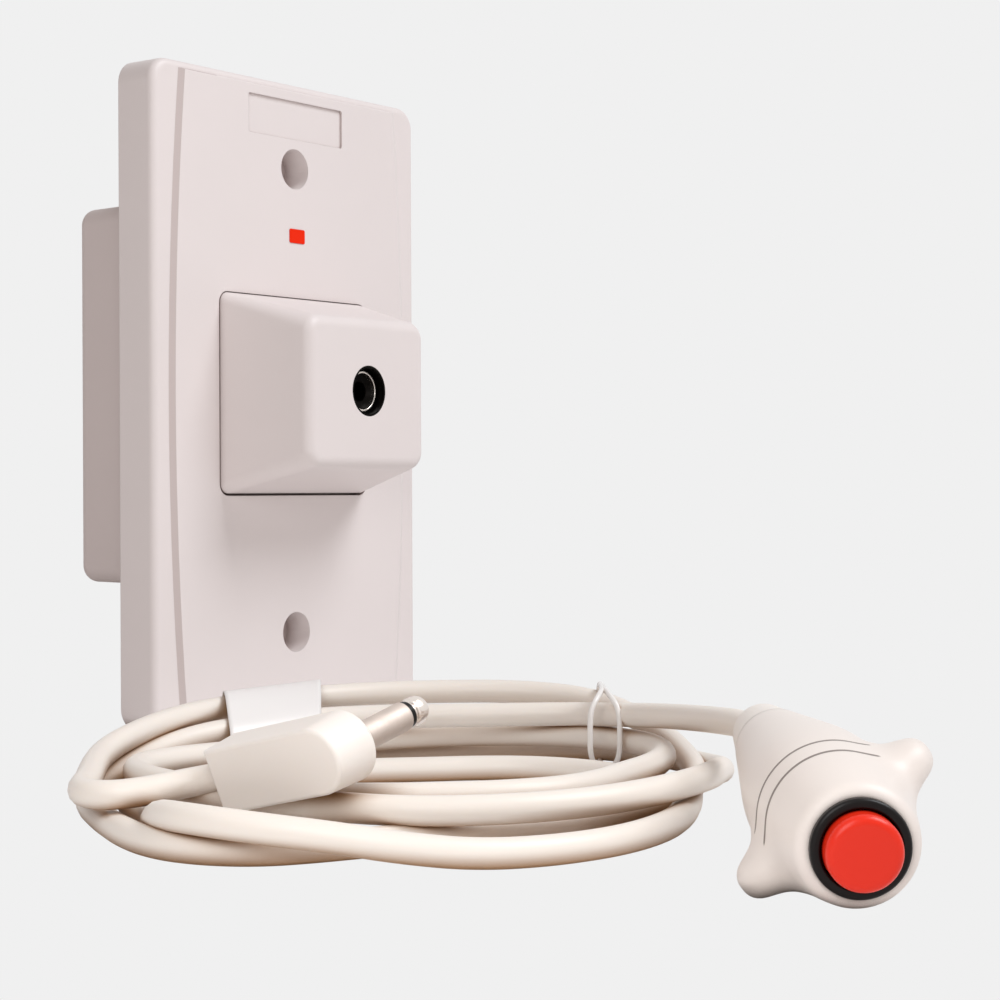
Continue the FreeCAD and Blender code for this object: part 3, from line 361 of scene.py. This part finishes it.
def grip_surface():
    """Points of the housing's surface in rows from its mouth to the cord's hole.

    A ray's direction is (cos lean, sin lean cos turn, sin lean sin turn). The mouth's edge is
    repeated deeper inside, which turns the skin in.
    """
    mouth_edge = math.pi - math.atan2(GRIP_BORE, RAYS_FROM)
    cord_hole = math.atan2(CORD_THICK / MM / 2, GRIP_LONG - RAYS_FROM)
    lean = np.linspace(mouth_edge, cord_hole, RAYS_ALONG)[:, None]
    turn = np.linspace(0, 2 * math.pi, RAYS_AROUND, endpoint=False)[None, :]
    parts = (np.cos(lean), np.sin(lean) * np.cos(turn), np.sin(lean) * np.sin(turn))
    ray = np.stack(np.broadcast_arrays(*parts), axis=-1)
    start = (RAYS_FROM, 0.0, 0.0)
    near = np.zeros(ray.shape[:2])
    far = np.full(ray.shape[:2], RAY_LONG)
    for _ in range(HALVINGS):
        halfway = (near + far) / 2
        inside = grip_gap(ray * halfway[..., None] + start) < 0
        near = np.where(inside, halfway, near)
        far = np.where(inside, far, halfway)
    surface = ray * near[..., None] + start
    edge = surface[0] * (0.0, 1.0, 1.0)
    mouth = np.stack([edge + (depth, 0.0, 0.0) for depth in GRIP_MOUTH_DEPTHS])
    return np.concatenate([mouth, surface])


grip = placed("grip_housing", grip_surface(), GRIP_PLACE, GRIP_TURN)
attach(grip, "root")
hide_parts("pendant_housing")

# %% [markdown]
# ## Tip of the plug
#
# The plug's contact ends in a bright ball behind a narrow neck, so that it snaps in. The highlight
# on it shows every facet. A sphere with a cylinder behind it would leave a step, so one profile
# goes down the neck and over the ball, and it is turned round the plug's axis.

# %% Tip of the plug
PLUG_PLACE = (-113.59, -108.39, 10.7)
PLUG_TURN = (-12.89, -14.1, -0.98)
TIP_NECK = [(16.65, 0.0), (16.65, 1.6), (16.9, 1.15), (17.15, 1.1), (17.3, 1.3)]
TIP_MIDDLE = 18.0
TIP_HALF_LONG = 1.85
TIP_HALF_WIDE = 1.75
TIP_BACK_ANGLE = 112.0
TIP_ROWS = 28
TIP_COLUMNS = 48


def tip_surface():
    """The tip's neck, and its ball as an ellipse: x = middle + a cos t, out = b sin t."""
    t = np.radians(np.linspace(TIP_BACK_ANGLE, 0, TIP_ROWS))
    ball = np.stack([TIP_MIDDLE + TIP_HALF_LONG * np.cos(t), TIP_HALF_WIDE * np.sin(t)], axis=-1)
    along, out = np.concatenate([TIP_NECK, ball])[:, :, None].transpose(1, 0, 2)
    turn = np.linspace(0, 2 * np.pi, TIP_COLUMNS, endpoint=False)[None, :]
    parts = (along, out * np.cos(turn), out * np.sin(turn))
    return np.stack(np.broadcast_arrays(*parts), axis=-1)


tip = placed("ball_tip", tip_surface(), PLUG_PLACE, PLUG_TURN)
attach(tip, "root")
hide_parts("plug_tip")

# %% [markdown]
# ## Tie round the strands
#
# A thin milky band goes twice round the strands on the right, and its two fronts stand apart. It
# could be a second curve with a round profile. As it is a closed line, a tube of points along it
# is as short, and its ends meet without a cap. Its line is given as the picture shows it: across
# the picture, away from the camera and up, in mm.

# %% Tie round the strands
TIE_MIDDLE = (14.7, 320.0, 6.4)
TIE_HALF_DEEP = 10.0
TIE_HALF_TALL = 5.9
TIE_SPREAD = 2.1
TIE_SPREAD_NARROWNESS = 9
TIE_SQUARENESS = 0.5
TIE_TUCK = 0.06
TIE_THICK = 0.8
TIE_ROWS = 240
TIE_COLUMNS = 12


def in_frame(seen):
    """Points given across the picture, away from the camera and up, as places in the frame."""
    turn = math.radians(CAMERA_HEADING)
    across = np.array([math.cos(turn), -math.sin(turn), 0.0])
    away = np.array([math.sin(turn), math.cos(turn), 0.0])
    foot = np.array([CAMERA_PLACE[0], CAMERA_PLACE[1], 0.0])
    seen = np.asarray(seen) * MM
    return foot + seen[..., :1] * across + seen[..., 1:2] * away + seen[..., 2:] * (0.0, 0.0, 1.0)


def tie_line():
    """The tie's line: an upright rounded box, gone round twice, with its two fronts spread apart.

    A power of the cosine and of the sine below one makes their circle a box. The first round is
    tucked in a little, so that the second one clears it.
    """
    turn = np.linspace(0, 4 * np.pi, TIE_ROWS, endpoint=False)
    deep = np.sign(np.cos(turn)) * np.abs(np.cos(turn)) ** TIE_SQUARENESS
    tall = np.sign(np.sin(turn)) * np.abs(np.sin(turn)) ** TIE_SQUARENESS
    across = TIE_SPREAD * np.sin(turn / 2) ** TIE_SPREAD_NARROWNESS
    tucked = 1 - TIE_TUCK * (1 + np.cos(turn / 2))
    return np.array(TIE_MIDDLE) + np.stack(
        [across, TIE_HALF_DEEP * deep * tucked, TIE_HALF_TALL * tall], axis=-1)


def closed_tube(name, line, thick):
    """A round tube along a closed line, with two unit spokes square to the line at every point."""
    ahead = np.roll(line, -1, axis=0) - np.roll(line, 1, axis=0)
    ahead /= np.linalg.norm(ahead, axis=1, keepdims=True)
    side = np.cross(ahead, np.cross(ahead, line - line.mean(axis=0)))
    side /= np.linalg.norm(side, axis=1, keepdims=True)
    third = np.cross(ahead, side)
    turn = np.linspace(0, 2 * np.pi, TIE_COLUMNS, endpoint=False)[None, :, None]
    spoke = np.cos(turn) * side[:, None] + np.sin(turn) * third[:, None]
    points = line[:, None] + spoke * thick / 2
    return link_object(name, grid_mesh(name, points, round_across=True, round_along=True))


tie = closed_tube("strand_tie", in_frame(tie_line()), TIE_THICK * MM)
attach(tie, "root")
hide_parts("cord_tie")

# %% [markdown]
# ## Label
#
# A blank film lies over the top strand and hangs down in front of it. It is stiff enough to bend
# one way only, so its lines from edge to edge stay straight. A cloth simulation would crumple it.
# A few such lines say how it bends, the rest is drawn between them, and a thickness is added last.

# %% Label
FILM_THICK = 0.15
FILM_STEPS = 8
FILM_COLUMNS = 24

# The film's lines from its left to its right edge, from behind the strand to its free end.
FILM_LINES = [
    ((-40.4, 318.4, 9.8), (-27.8, 329.7, 10.6)), ((-39.9, 316.2, 12.0), (-26.9, 327.3, 12.7)),
    ((-39.2, 313.2, 11.2), (-26.4, 323.0, 11.9)), ((-38.5, 310.2, 9.1), (-26.0, 318.0, 9.8)),
    ((-38.0, 308.2, 7.4), (-25.8, 315.5, 7.6)), ((-37.6, 306.9, 5.2), (-25.7, 314.8, 5.1)),
]


def hanging_film():
    """The film: each row goes straight from its left to its right edge, in equal parts."""
    lines = np.array(FILM_LINES).reshape(len(FILM_LINES), 6)
    bent = between_stations(lines, FILM_STEPS).reshape(-1, 2, 3)
    part = np.linspace(0, 1, FILM_COLUMNS)[None, :, None]
    sheet = in_frame(bent[:, :1] * (1 - part) + bent[:, 1:] * part)
    made = link_object("hanging_label", grid_mesh("hanging_label", sheet))
    thicken = made.modifiers.new("film", "SOLIDIFY")
    thicken.thickness = FILM_THICK * MM
    return made


label = hanging_film()
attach(label, "root")
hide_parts("cord_label")

# %% [markdown]
# ## Pieces on the cord
#
# The cord is limp enough to lie in the turns that it is given. The pieces that go with it are
# the plug's tip, the tie and the label, and this cell prints their names.

# %% Pieces on the cord
print("on the cord:", tip.name, tie.name, label.name)

# %% [markdown]
# ## Colours and shader nodes
#
# A colour is written as it looks on screen, because it is compared there with the real object. A
# shader adds up light, so it needs linear values, and one function turns every colour into them.
# A second function adds a shader node with its settings and links, which keeps a finish readable.

# %% Colours and shader nodes
def linear(colour):
    """A screen colour such as "f3ede6" as linear red, green, blue and full opacity."""
    parts = np.array([int(colour[i:i + 2], 16) for i in (0, 2, 4)]) / 255
    low = parts / 12.92
    high = ((parts + 0.055) / 1.055) ** 2.4
    return (*np.where(parts <= 0.04045, low, high), 1.0)


def add_node(tree, kind, inputs=None, **settings):
    """A shader node with its settings, whose inputs are values or the outputs of other nodes."""
    node = tree.nodes.new(kind)
    for name, value in settings.items():
        setattr(node, name, value)
    for name, value in (inputs or {}).items():
        if isinstance(value, bpy.types.NodeSocket):
            tree.links.new(value, node.inputs[name])
        else:
            node.inputs[name].default_value = value
    return node


def new_material(name):
    """An empty material, its node tree, and the place on the object that its patterns read."""
    made = bpy.data.materials.new(name)
    made.use_nodes = True
    made.node_tree.nodes.clear()
    place = add_node(made.node_tree, "ShaderNodeTexCoord").outputs["Object"]
    return made, made.node_tree, place


# %% [markdown]
# ## Colour of plastics
#
# Almost all that shows is plastic. A real moulding isn't one flat colour: it is a little lighter
# and darker in broad clouds. Its gaps get painted shade, a darker and warmer colour. A picture
# could be wrapped round it, but noise that is worked out at each place needs no wrapping and has
# no seams. How much sky is open to a place tells whether it lies in a gap.

# %% Colour of plastics
CLOUD_WIDE = 25.0
CLOUD_LIGHTNESS = (0.97, 1.02)
PAINTED_SHADE_SKY = (0.15, 0.75)


def colour_with_painted_shade(tree, cloud, colour, painted_shade_colour, reach):
    """The colour in clouds, which turns to a darker, warmer painted shade where little sky is
    open.

    Neighbours nearer than the reach hide the sky.
    """
    lightness = add_node(tree, "ShaderNodeMapRange", {
        "Value": cloud, "To Min": CLOUD_LIGHTNESS[0], "To Max": CLOUD_LIGHTNESS[1]})
    clouded = add_node(tree, "ShaderNodeHueSaturation", {
        "Color": linear(colour), "Value": lightness.outputs["Result"]})
    # Painted shade: where neighbours hide the sky, the colour is mixed towards a darker, warmer one.
    sky = add_node(tree, "ShaderNodeAmbientOcclusion", {"Distance": reach * MM}, samples=8)
    open_sky = add_node(tree, "ShaderNodeMapRange", {
        "Value": sky.outputs["AO"], "From Min": PAINTED_SHADE_SKY[0], "From Max": PAINTED_SHADE_SKY[1]})
    return add_node(tree, "ShaderNodeMix", {
        "Factor": open_sky.outputs["Result"], "A": linear(painted_shade_colour),
        "B": clouded.outputs["Color"]}, data_type="RGBA").outputs["Result"]


print(f"clouds: {CLOUD_WIDE} mm wide, {CLOUD_LIGHTNESS[0]} to {CLOUD_LIGHTNESS[1]} times as light")

# %% [markdown]
# ## Surface of plastics
#
# A mould leaves a fine grain, which breaks up the highlights. The real grain is a few hundredths
# of a millimetre. That is too fine to show, so it is drawn about ten times as coarse. Grain,
# rounded edges and sunk lines could all be cut into the mesh. As they only show in the light,
# they only tilt it here, and the sunk lines are also darkened with painted shade. Soft vinyl also
# takes some light in and gives it back beside the place.

# %% Surface of plastics
# ABS, PVC, acrylic and the films all bend light by about this much.
PLASTIC_IOR = 1.5
GLOSS_SPREAD = 0.05
GRAIN_DEEP = 0.1
LINE_DEEP = 0.15
LINE_STRENGTH = 0.7
THROUGH_LONG = 1.0
THROUGH_COLOURS = (1.0, 0.8, 0.6)


def plastic(name, colour, painted_shade_colour, roughness, grain=0.286, relief=0.02, shine=0.35, through=0.0,
            soft_edge=0.0, lines=None, reach=4.0):
    """A plastic of one colour, with clouds, a grain and painted shade in its crevices.

    Grain is how wide its grains are, in mm, and relief how strongly they show. Shine is how
    strongly the surface mirrors, and through how much light goes in and comes out close by.
    Edges look as round as soft_edge, in mm. The function for lines gives one in lines that are
    sunk and painted with shade, and nothing elsewhere. Reach is how far, in mm, a neighbour still
    brings painted shade.
    """
    made, tree, place = new_material(name)
    cloud = add_node(tree, "ShaderNodeTexNoise", {
        "Vector": place, "Scale": 1 / (CLOUD_WIDE * MM), "Detail": 3.0}).outputs["Fac"]
    fine = add_node(tree, "ShaderNodeTexNoise", {
        "Vector": place, "Scale": 1 / (grain * MM), "Detail": 2.0}).outputs["Fac"]
    shown = colour_with_painted_shade(tree, cloud, colour, painted_shade_colour, reach)
    gloss = add_node(tree, "ShaderNodeMapRange", {
        "Value": cloud, "To Min": roughness - GLOSS_SPREAD, "To Max": roughness + GLOSS_SPREAD})
    bump = add_node(tree, "ShaderNodeBump", {
        "Height": fine, "Strength": relief, "Distance": GRAIN_DEEP * MM})
    if soft_edge:
        rounded = add_node(tree, "ShaderNodeBevel", {"Radius": soft_edge * MM}, samples=4)
        tree.links.new(rounded.outputs["Normal"], bump.inputs["Normal"])
    normal = bump.outputs["Normal"]
    if lines:
        sunk_and_painted_shade = lines(tree, place)
        normal = add_node(tree, "ShaderNodeBump", {
            "Height": sunk_and_painted_shade, "Strength": LINE_STRENGTH, "Distance": LINE_DEEP * MM,
            "Normal": normal}, invert=True).outputs["Normal"]
        # Painted shade: the colour in these lines is mixed towards the darker shade colour.
        shown = add_node(tree, "ShaderNodeMix", {
            "Factor": sunk_and_painted_shade, "A": shown, "B": linear(painted_shade_colour)}, data_type="RGBA").outputs["Result"]
    surface = add_node(tree, "ShaderNodeBsdfPrincipled", {
        "Base Color": shown, "Roughness": gloss.outputs["Result"], "Normal": normal,
        "IOR": PLASTIC_IOR, "Specular IOR Level": shine, "Subsurface Weight": through,
        "Subsurface Scale": THROUGH_LONG * MM, "Subsurface Radius": THROUGH_COLOURS})
    add_node(tree, "ShaderNodeOutputMaterial", {"Surface": surface.outputs["BSDF"]})
    return made


# %% [markdown]
# ## Metals
#
# The plug, the contacts and the screws are plated or bare metal. All that the eye gets from them
# is their gloss, so a metal is one colour whose roughness changes in fine clouds, as plating
# does. Its sharp edges are only made to look round, which costs no faces.

# %% Metals
METAL_CLOUD_WIDE = 1.667
METAL_GLOSS_SPREAD = (0.7, 1.4)
METAL_EDGE = 0.3
METAL_RELIEF = 0.03


def metal(name, colour, roughness):
    """Bare or plated metal: one colour, with a gloss that changes in fine clouds."""
    made, tree, place = new_material(name)
    cloud = add_node(tree, "ShaderNodeTexNoise", {
        "Vector": place, "Scale": 1 / (METAL_CLOUD_WIDE * MM), "Detail": 4.0}).outputs["Fac"]
    gloss = add_node(tree, "ShaderNodeMapRange", {
        "Value": cloud, "To Min": roughness * METAL_GLOSS_SPREAD[0],
        "To Max": roughness * METAL_GLOSS_SPREAD[1]})
    rounded = add_node(tree, "ShaderNodeBevel", {"Radius": METAL_EDGE * MM}, samples=6)
    bump = add_node(tree, "ShaderNodeBump", {
        "Height": cloud, "Strength": METAL_RELIEF, "Distance": GRAIN_DEEP * MM,
        "Normal": rounded.outputs["Normal"]})
    surface = add_node(tree, "ShaderNodeBsdfPrincipled", {
        "Base Color": linear(colour), "Metallic": 1.0, "Roughness": gloss.outputs["Result"],
        "Normal": bump.outputs["Normal"]})
    add_node(tree, "ShaderNodeOutputMaterial", {"Surface": surface.outputs["BSDF"]})
    return made


# %% [markdown]
# ## Slope beside the raised panel
#
# The plate's panel is raised a little, and the narrow slope down to the rim collects shade on the
# left. The slope is in the solid already, and a second lamp could deepen its shade. Here the
# shade is painted instead: a mask in the finish is exact, it takes how deep a place lies in the
# plate, and how far to the left.

# %% Slope beside the raised panel
SLOPE_MIDDLE = -4.05
SLOPE_HALF = 0.26
SLOPE_LEFT_OF = -20.0
SLOPE_SHADE = 0.5


def painted_slope_shade(tree, place):
    """The slope's painted shade, where y is near the slope's middle and x is left of its last
    place.
    """
    spot = add_node(tree, "ShaderNodeSeparateXYZ", {"Vector": place})
    deep = add_node(tree, "ShaderNodeMath", {
        0: spot.outputs["Y"], 1: SLOPE_MIDDLE * MM, 2: SLOPE_HALF * MM}, operation="COMPARE")
    left = add_node(tree, "ShaderNodeMath", {
        0: spot.outputs["X"], 1: SLOPE_LEFT_OF * MM}, operation="LESS_THAN")
    both = add_node(tree, "ShaderNodeMath", {
        0: deep.outputs[0], 1: left.outputs[0]}, operation="MULTIPLY")
    shade = add_node(tree, "ShaderNodeMath", {
        0: both.outputs[0], 1: SLOPE_SHADE}, operation="MULTIPLY")
    return shade.outputs[0]


# %% [markdown]
# ## Grooves of the hand button
#
# Two pairs of hairline grooves run over the housing and taper out towards the wings. They could
# be cut into the skin, but they are finer than its faces. So they are drawn in the finish, from
# the same rings that would cut them: they tilt the light, and painted shade darkens them.

# %% Grooves of the hand button
# Each ring's place along the axis and the radius of its wire's middle.
GROOVE_RINGS = [(9.6, 7.71, 0.0), (13.4, 7.96, 0.0)]
GROOVE_SHIFT = 0.39
# A groove is full to the first and gone at the second: away from the wire, and above the wings.
GROOVE_EDGE = (0.22, 0.3)
GROOVE_ENDS = (3.2, 2.2)


def in_grooves(tree, place):
    """One inside the hand button's four grooves, nothing a little past their edges.

    Each groove is a ring's print. Along the grip's axis x, a place is at the reach
    sqrt(y^2 + (|z| + shift)^2) from the ring's middle, and the ring's wire is at (x, reach).
    """
    along = add_node(tree, "ShaderNodeMapping", {
        "Vector": place, "Location": Vector(GRIP_PLACE) * MM,
        "Rotation": [math.radians(turn) for turn in GRIP_TURN]}, vector_type="TEXTURE")
    local = add_node(tree, "ShaderNodeSeparateXYZ", {"Vector": along.outputs["Vector"]})
    height = add_node(tree, "ShaderNodeMath", {0: local.outputs["Z"]}, operation="ABSOLUTE")
    raised = add_node(tree, "ShaderNodeMath", {0: height.outputs[0], 1: GROOVE_SHIFT * MM})
    across = add_node(tree, "ShaderNodeCombineXYZ", {
        "Y": local.outputs["Y"], "Z": raised.outputs[0]})
    reach = add_node(tree, "ShaderNodeVectorMath", {0: across.outputs[0]}, operation="LENGTH")
    spot = add_node(tree, "ShaderNodeCombineXYZ", {
        "X": local.outputs["X"], "Y": reach.outputs["Value"]})
    first, second = (add_node(tree, "ShaderNodeVectorMath", {
        0: spot.outputs[0], 1: Vector(ring) * MM}, operation="DISTANCE") for ring in GROOVE_RINGS)
    nearest = add_node(tree, "ShaderNodeMath", {
        0: first.outputs["Value"], 1: second.outputs["Value"]}, operation="MINIMUM")
    inside = add_node(tree, "ShaderNodeMapRange", {
        "Value": nearest.outputs[0], "From Min": GROOVE_EDGE[1] * MM,
        "From Max": GROOVE_EDGE[0] * MM})
    off_wing = add_node(tree, "ShaderNodeMapRange", {
        "Value": height.outputs[0], "From Min": GROOVE_ENDS[1] * MM,
        "From Max": GROOVE_ENDS[0] * MM})
    both = add_node(tree, "ShaderNodeMath", {
        0: inside.outputs["Result"], 1: off_wing.outputs["Result"]}, operation="MULTIPLY")
    return both.outputs[0]


# %% [markdown]
# ## Finishes of plastic
#
# Each finish starts from what the real piece is made of and how its surface was made. A finish
# could be made where its piece is. One table is better, because alike pieces can't drift apart.
# It has the names that the frame gives its materials.

# %% Finishes of plastic
# The second colour of each finish is painted shade, which fills its crevices and sunk lines.
PLASTICS = {
    # ABS from a finely etched mould: broad soft highlights, white with a trace of pink
    "plate_plastic": plastic("etched_moulded_abs", "e9e0de", "a8938e", 0.42, soft_edge=0.2,
                             lines=painted_slope_shade),
    # ABS from a plainer mould, behind the plate: matt and a little darker
    "box_plastic": plastic("matt_moulded_abs", "ddd1ce", "b09d99", 0.55),
    # ABS from a smoother mould: a warmer white, and a clear highlight along each curve
    "grip_plastic": plastic("smooth_moulded_abs", "f1e8e1", "857a73", 0.36, soft_edge=1.2,
                            lines=in_grooves),
    # soft PVC drawn over the wires: a satin skin that light goes into, with painted brown shade
    # in its crevices
    "cord_pvc": plastic("drawn_soft_pvc", "f2eae1", "a9835f", 0.4, grain=0.4, through=0.1,
                        reach=7.0),
    # soft PVC moulded round the plug and the cord's sleeve: paler and less glossy than the cord
    "plug_pvc": plastic("moulded_soft_pvc", "f6efe8", "b9a08c", 0.45, through=0.1),
    # polyamide of the ring round the button: nearly black, with a small sharp highlight
    "black_plastic": plastic("black_moulded_polyamide", "120e0d", "070605", 0.3, relief=0.01,
                             shine=0.2),
    # ABS of the button from a polished mould: a full orange-red under a soft highlight
    "red_plastic": plastic("red_moulded_abs", "ea2e16", "a81a0c", 0.3, relief=0.015, shine=0.3),
    # acrylic of the lens: an even glowing red with hardly a highlight
    "red_lens": plastic("red_moulded_acrylic", "f42a04", "c02404", 0.3, relief=0.0, shine=0.1),
    # glass laminate under green lacquer
    "circuit_laminate": plastic("lacquered_glass_laminate", "2c6b43", "173a24", 0.4),
    # film shrunk round the battery's cell
    "cell_sleeve": plastic("shrunk_cell_film", "3d4650", "20262c", 0.35),
    # polyamide of the battery's cradle and the switch: black, matt from the mould
    "cradle_plastic": plastic("matt_moulded_polyamide", "23211f", "121110", 0.5),
    # polyester film of the label: smooth, the whitest piece of all
    "white_film": plastic("rolled_polyester_film", "f1eeec", "d3c8bf", 0.3, relief=0.005),
    # clear PVC of the tie: milky where it bends, with thin bright lines of gloss
    "clear_vinyl": plastic("milky_drawn_pvc", "f4f1ee", "d9cfc6", 0.2, relief=0.0),
    # phenolic of the socket's body: its hole swallows the light
    "jack_black": plastic("black_pressed_phenolic", "070504", "030202", 0.5, relief=0.0,
                          shine=0.05),
}
print("plastics:", ", ".join(PLASTICS))

# %% [markdown]
# ## Finishes of metal
#
# The metals differ in colour and in how far their making has dulled them. A mirror-bright metal
# would need a whole room to reflect, so even the brightest is a little rough, as plating is.

# %% Finishes of metal
METALS = {
    # tin over the radio's steel can, a little dull
    "tinned_steel": metal("tinned_steel", "c4c1bb", 0.3),
    # polished nickel: bright and slightly warm
    "nickel_plate": metal("polished_nickel_plate", "f0e6de", 0.22),
    # nickel that use has rubbed satin, so the plug's shank has no mirror image on it
    "satin_nickel": metal("satin_nickel_plate", "cdc0b7", 0.58),
    # brass rolled to springy strips
    "brass_strip": metal("rolled_brass", "c9a45c", 0.3),
    # copper drawn to the antenna's wire
    "copper_wire": metal("drawn_copper", "b8714a", 0.3),
    # zinc over steel screws, bluish grey
    "zinc_screw": metal("zinc_plated_steel", "b9bcbe", 0.35),
}
print("metals:", ", ".join(METALS))

# %% [markdown]
# ## Finish of every piece
#
# The solids get the finish that the frame names for them. Only two look unlike the others of
# their material: the plug's shank is satin, and the socket's body is deeper black. The made
# pieces get theirs by name.

# %% Finish of every piece
FINISHES = PLASTICS | METALS
OWN_FINISH = {"plug_sleeve": "satin_nickel", "jack_body": "jack_black"}
MADE_FINISH = [
    (cord, "cord_pvc"), (grip, "grip_plastic"), (tip, "nickel_plate"), (tie, "clear_vinyl"),
    (label, "white_film"),
]

for part in frame["record"]["subparts"]:
    solid = nodes[part["node"]].data
    solid.materials.clear()
    solid.materials.append(FINISHES[OWN_FINISH.get(part["node"], part["material_slot"])])
for piece, finish in MADE_FINISH:
    piece.data.materials.append(FINISHES[finish])

# %% [markdown]
# ## Room
#
# The set stands in a pale studio, where light comes from all round, as from white walls. Many
# lamps could build that up, but one even room is calmer. The plain background is a second room,
# which only the camera and mirroring surfaces see.

# %% Room
BACKGROUND = "f0f0f0"
ROOM_COLOUR = "f7e9e4"
ROOM_STRENGTH = 0.31


def pale_world():
    """A soft warm room that gives light, behind a plain background for the eye and in mirrors."""
    world = bpy.data.worlds.new("pale_room")
    bpy.context.scene.world = world
    world.use_nodes = True
    tree = world.node_tree
    tree.nodes.clear()
    room = add_node(tree, "ShaderNodeBackground", {
        "Color": linear(ROOM_COLOUR), "Strength": ROOM_STRENGTH})
    plain = add_node(tree, "ShaderNodeBackground", {"Color": linear(BACKGROUND), "Strength": 1.0})
    path = add_node(tree, "ShaderNodeLightPath")
    seen = add_node(tree, "ShaderNodeMath", {
        0: path.outputs["Is Camera Ray"], 1: path.outputs["Is Glossy Ray"]}, operation="MAXIMUM")
    shown = add_node(tree, "ShaderNodeMixShader", {
        "Fac": seen.outputs[0], 1: room.outputs[0], 2: plain.outputs[0]})
    add_node(tree, "ShaderNodeOutputWorld", {"Surface": shown.outputs[0]})


pale_world()
print(f"room: {ROOM_COLOUR} at {ROOM_STRENGTH}, background {BACKGROUND}")

# %% [markdown]
# ## Lamps
#
# A soft lamp high in front on the right gives the shapes their light and leaves their left sides
# shaded. A small one low on the left lifts the shade under the coil. A lamp could be a point, but
# a square gives the broad highlights and soft edges of a studio's screens.

# %% Lamps
SET_MIDDLE = (-0.05, -0.06, 0.05)


def soft_light(name, place, aim, side, power, colour):
    """A square lamp with sides of this length in metres, turned to its aim."""
    data = bpy.data.lights.new(name, "AREA")
    data.size = side
    data.energy = power
    data.color = linear(colour)[:3]
    light = link_object(name, data)
    light.location = place
    light.rotation_euler = (Vector(aim) - Vector(place)).to_track_quat("-Z", "Y").to_euler()
    print(f"{name}: {power} W, {(Vector(aim) - Vector(place)).length:.2f} m from its aim")


soft_light("key", place=(0.30, -0.75, 1.0), aim=SET_MIDDLE, side=0.6, power=10.1, colour="f7fbff")
soft_light("low_fill", place=(-0.25, -0.17, 0.11), aim=(-0.13, -0.05, 0.01), side=0.12,
           power=0.185, colour="ffffff")

# %% [markdown]
# ## Ground
#
# The set rests on a pale floor that runs into the background without a line. In a real studio a
# backdrop bent up behind it would do that. Here the floor is hidden from the camera but not from
# the light, so it still gives its light back to the undersides.

# %% Ground
GROUND_REACH = 1.5
GROUND_LEVEL = -0.2 * MM


def ground():
    """A wide flat square just under the set, of which the camera sees nothing."""
    mesh = bpy.data.meshes.new("ground")
    near, far = -GROUND_REACH, GROUND_REACH
    mesh.from_pydata([(near, near, 0), (far, near, 0), (far, far, 0), (near, far, 0)],
                     [], [(0, 1, 2, 3)])
    floor = link_object("ground", mesh)
    floor.data.materials.append(plastic("pale_floor", "f2f1f0", "eeedec", 0.8, relief=0.0))
    floor.location.z = GROUND_LEVEL
    floor.visible_camera = False
    print(f"ground: {2 * GROUND_REACH} m square")


ground()
bpy.context.scene.view_settings.view_transform = "Standard"
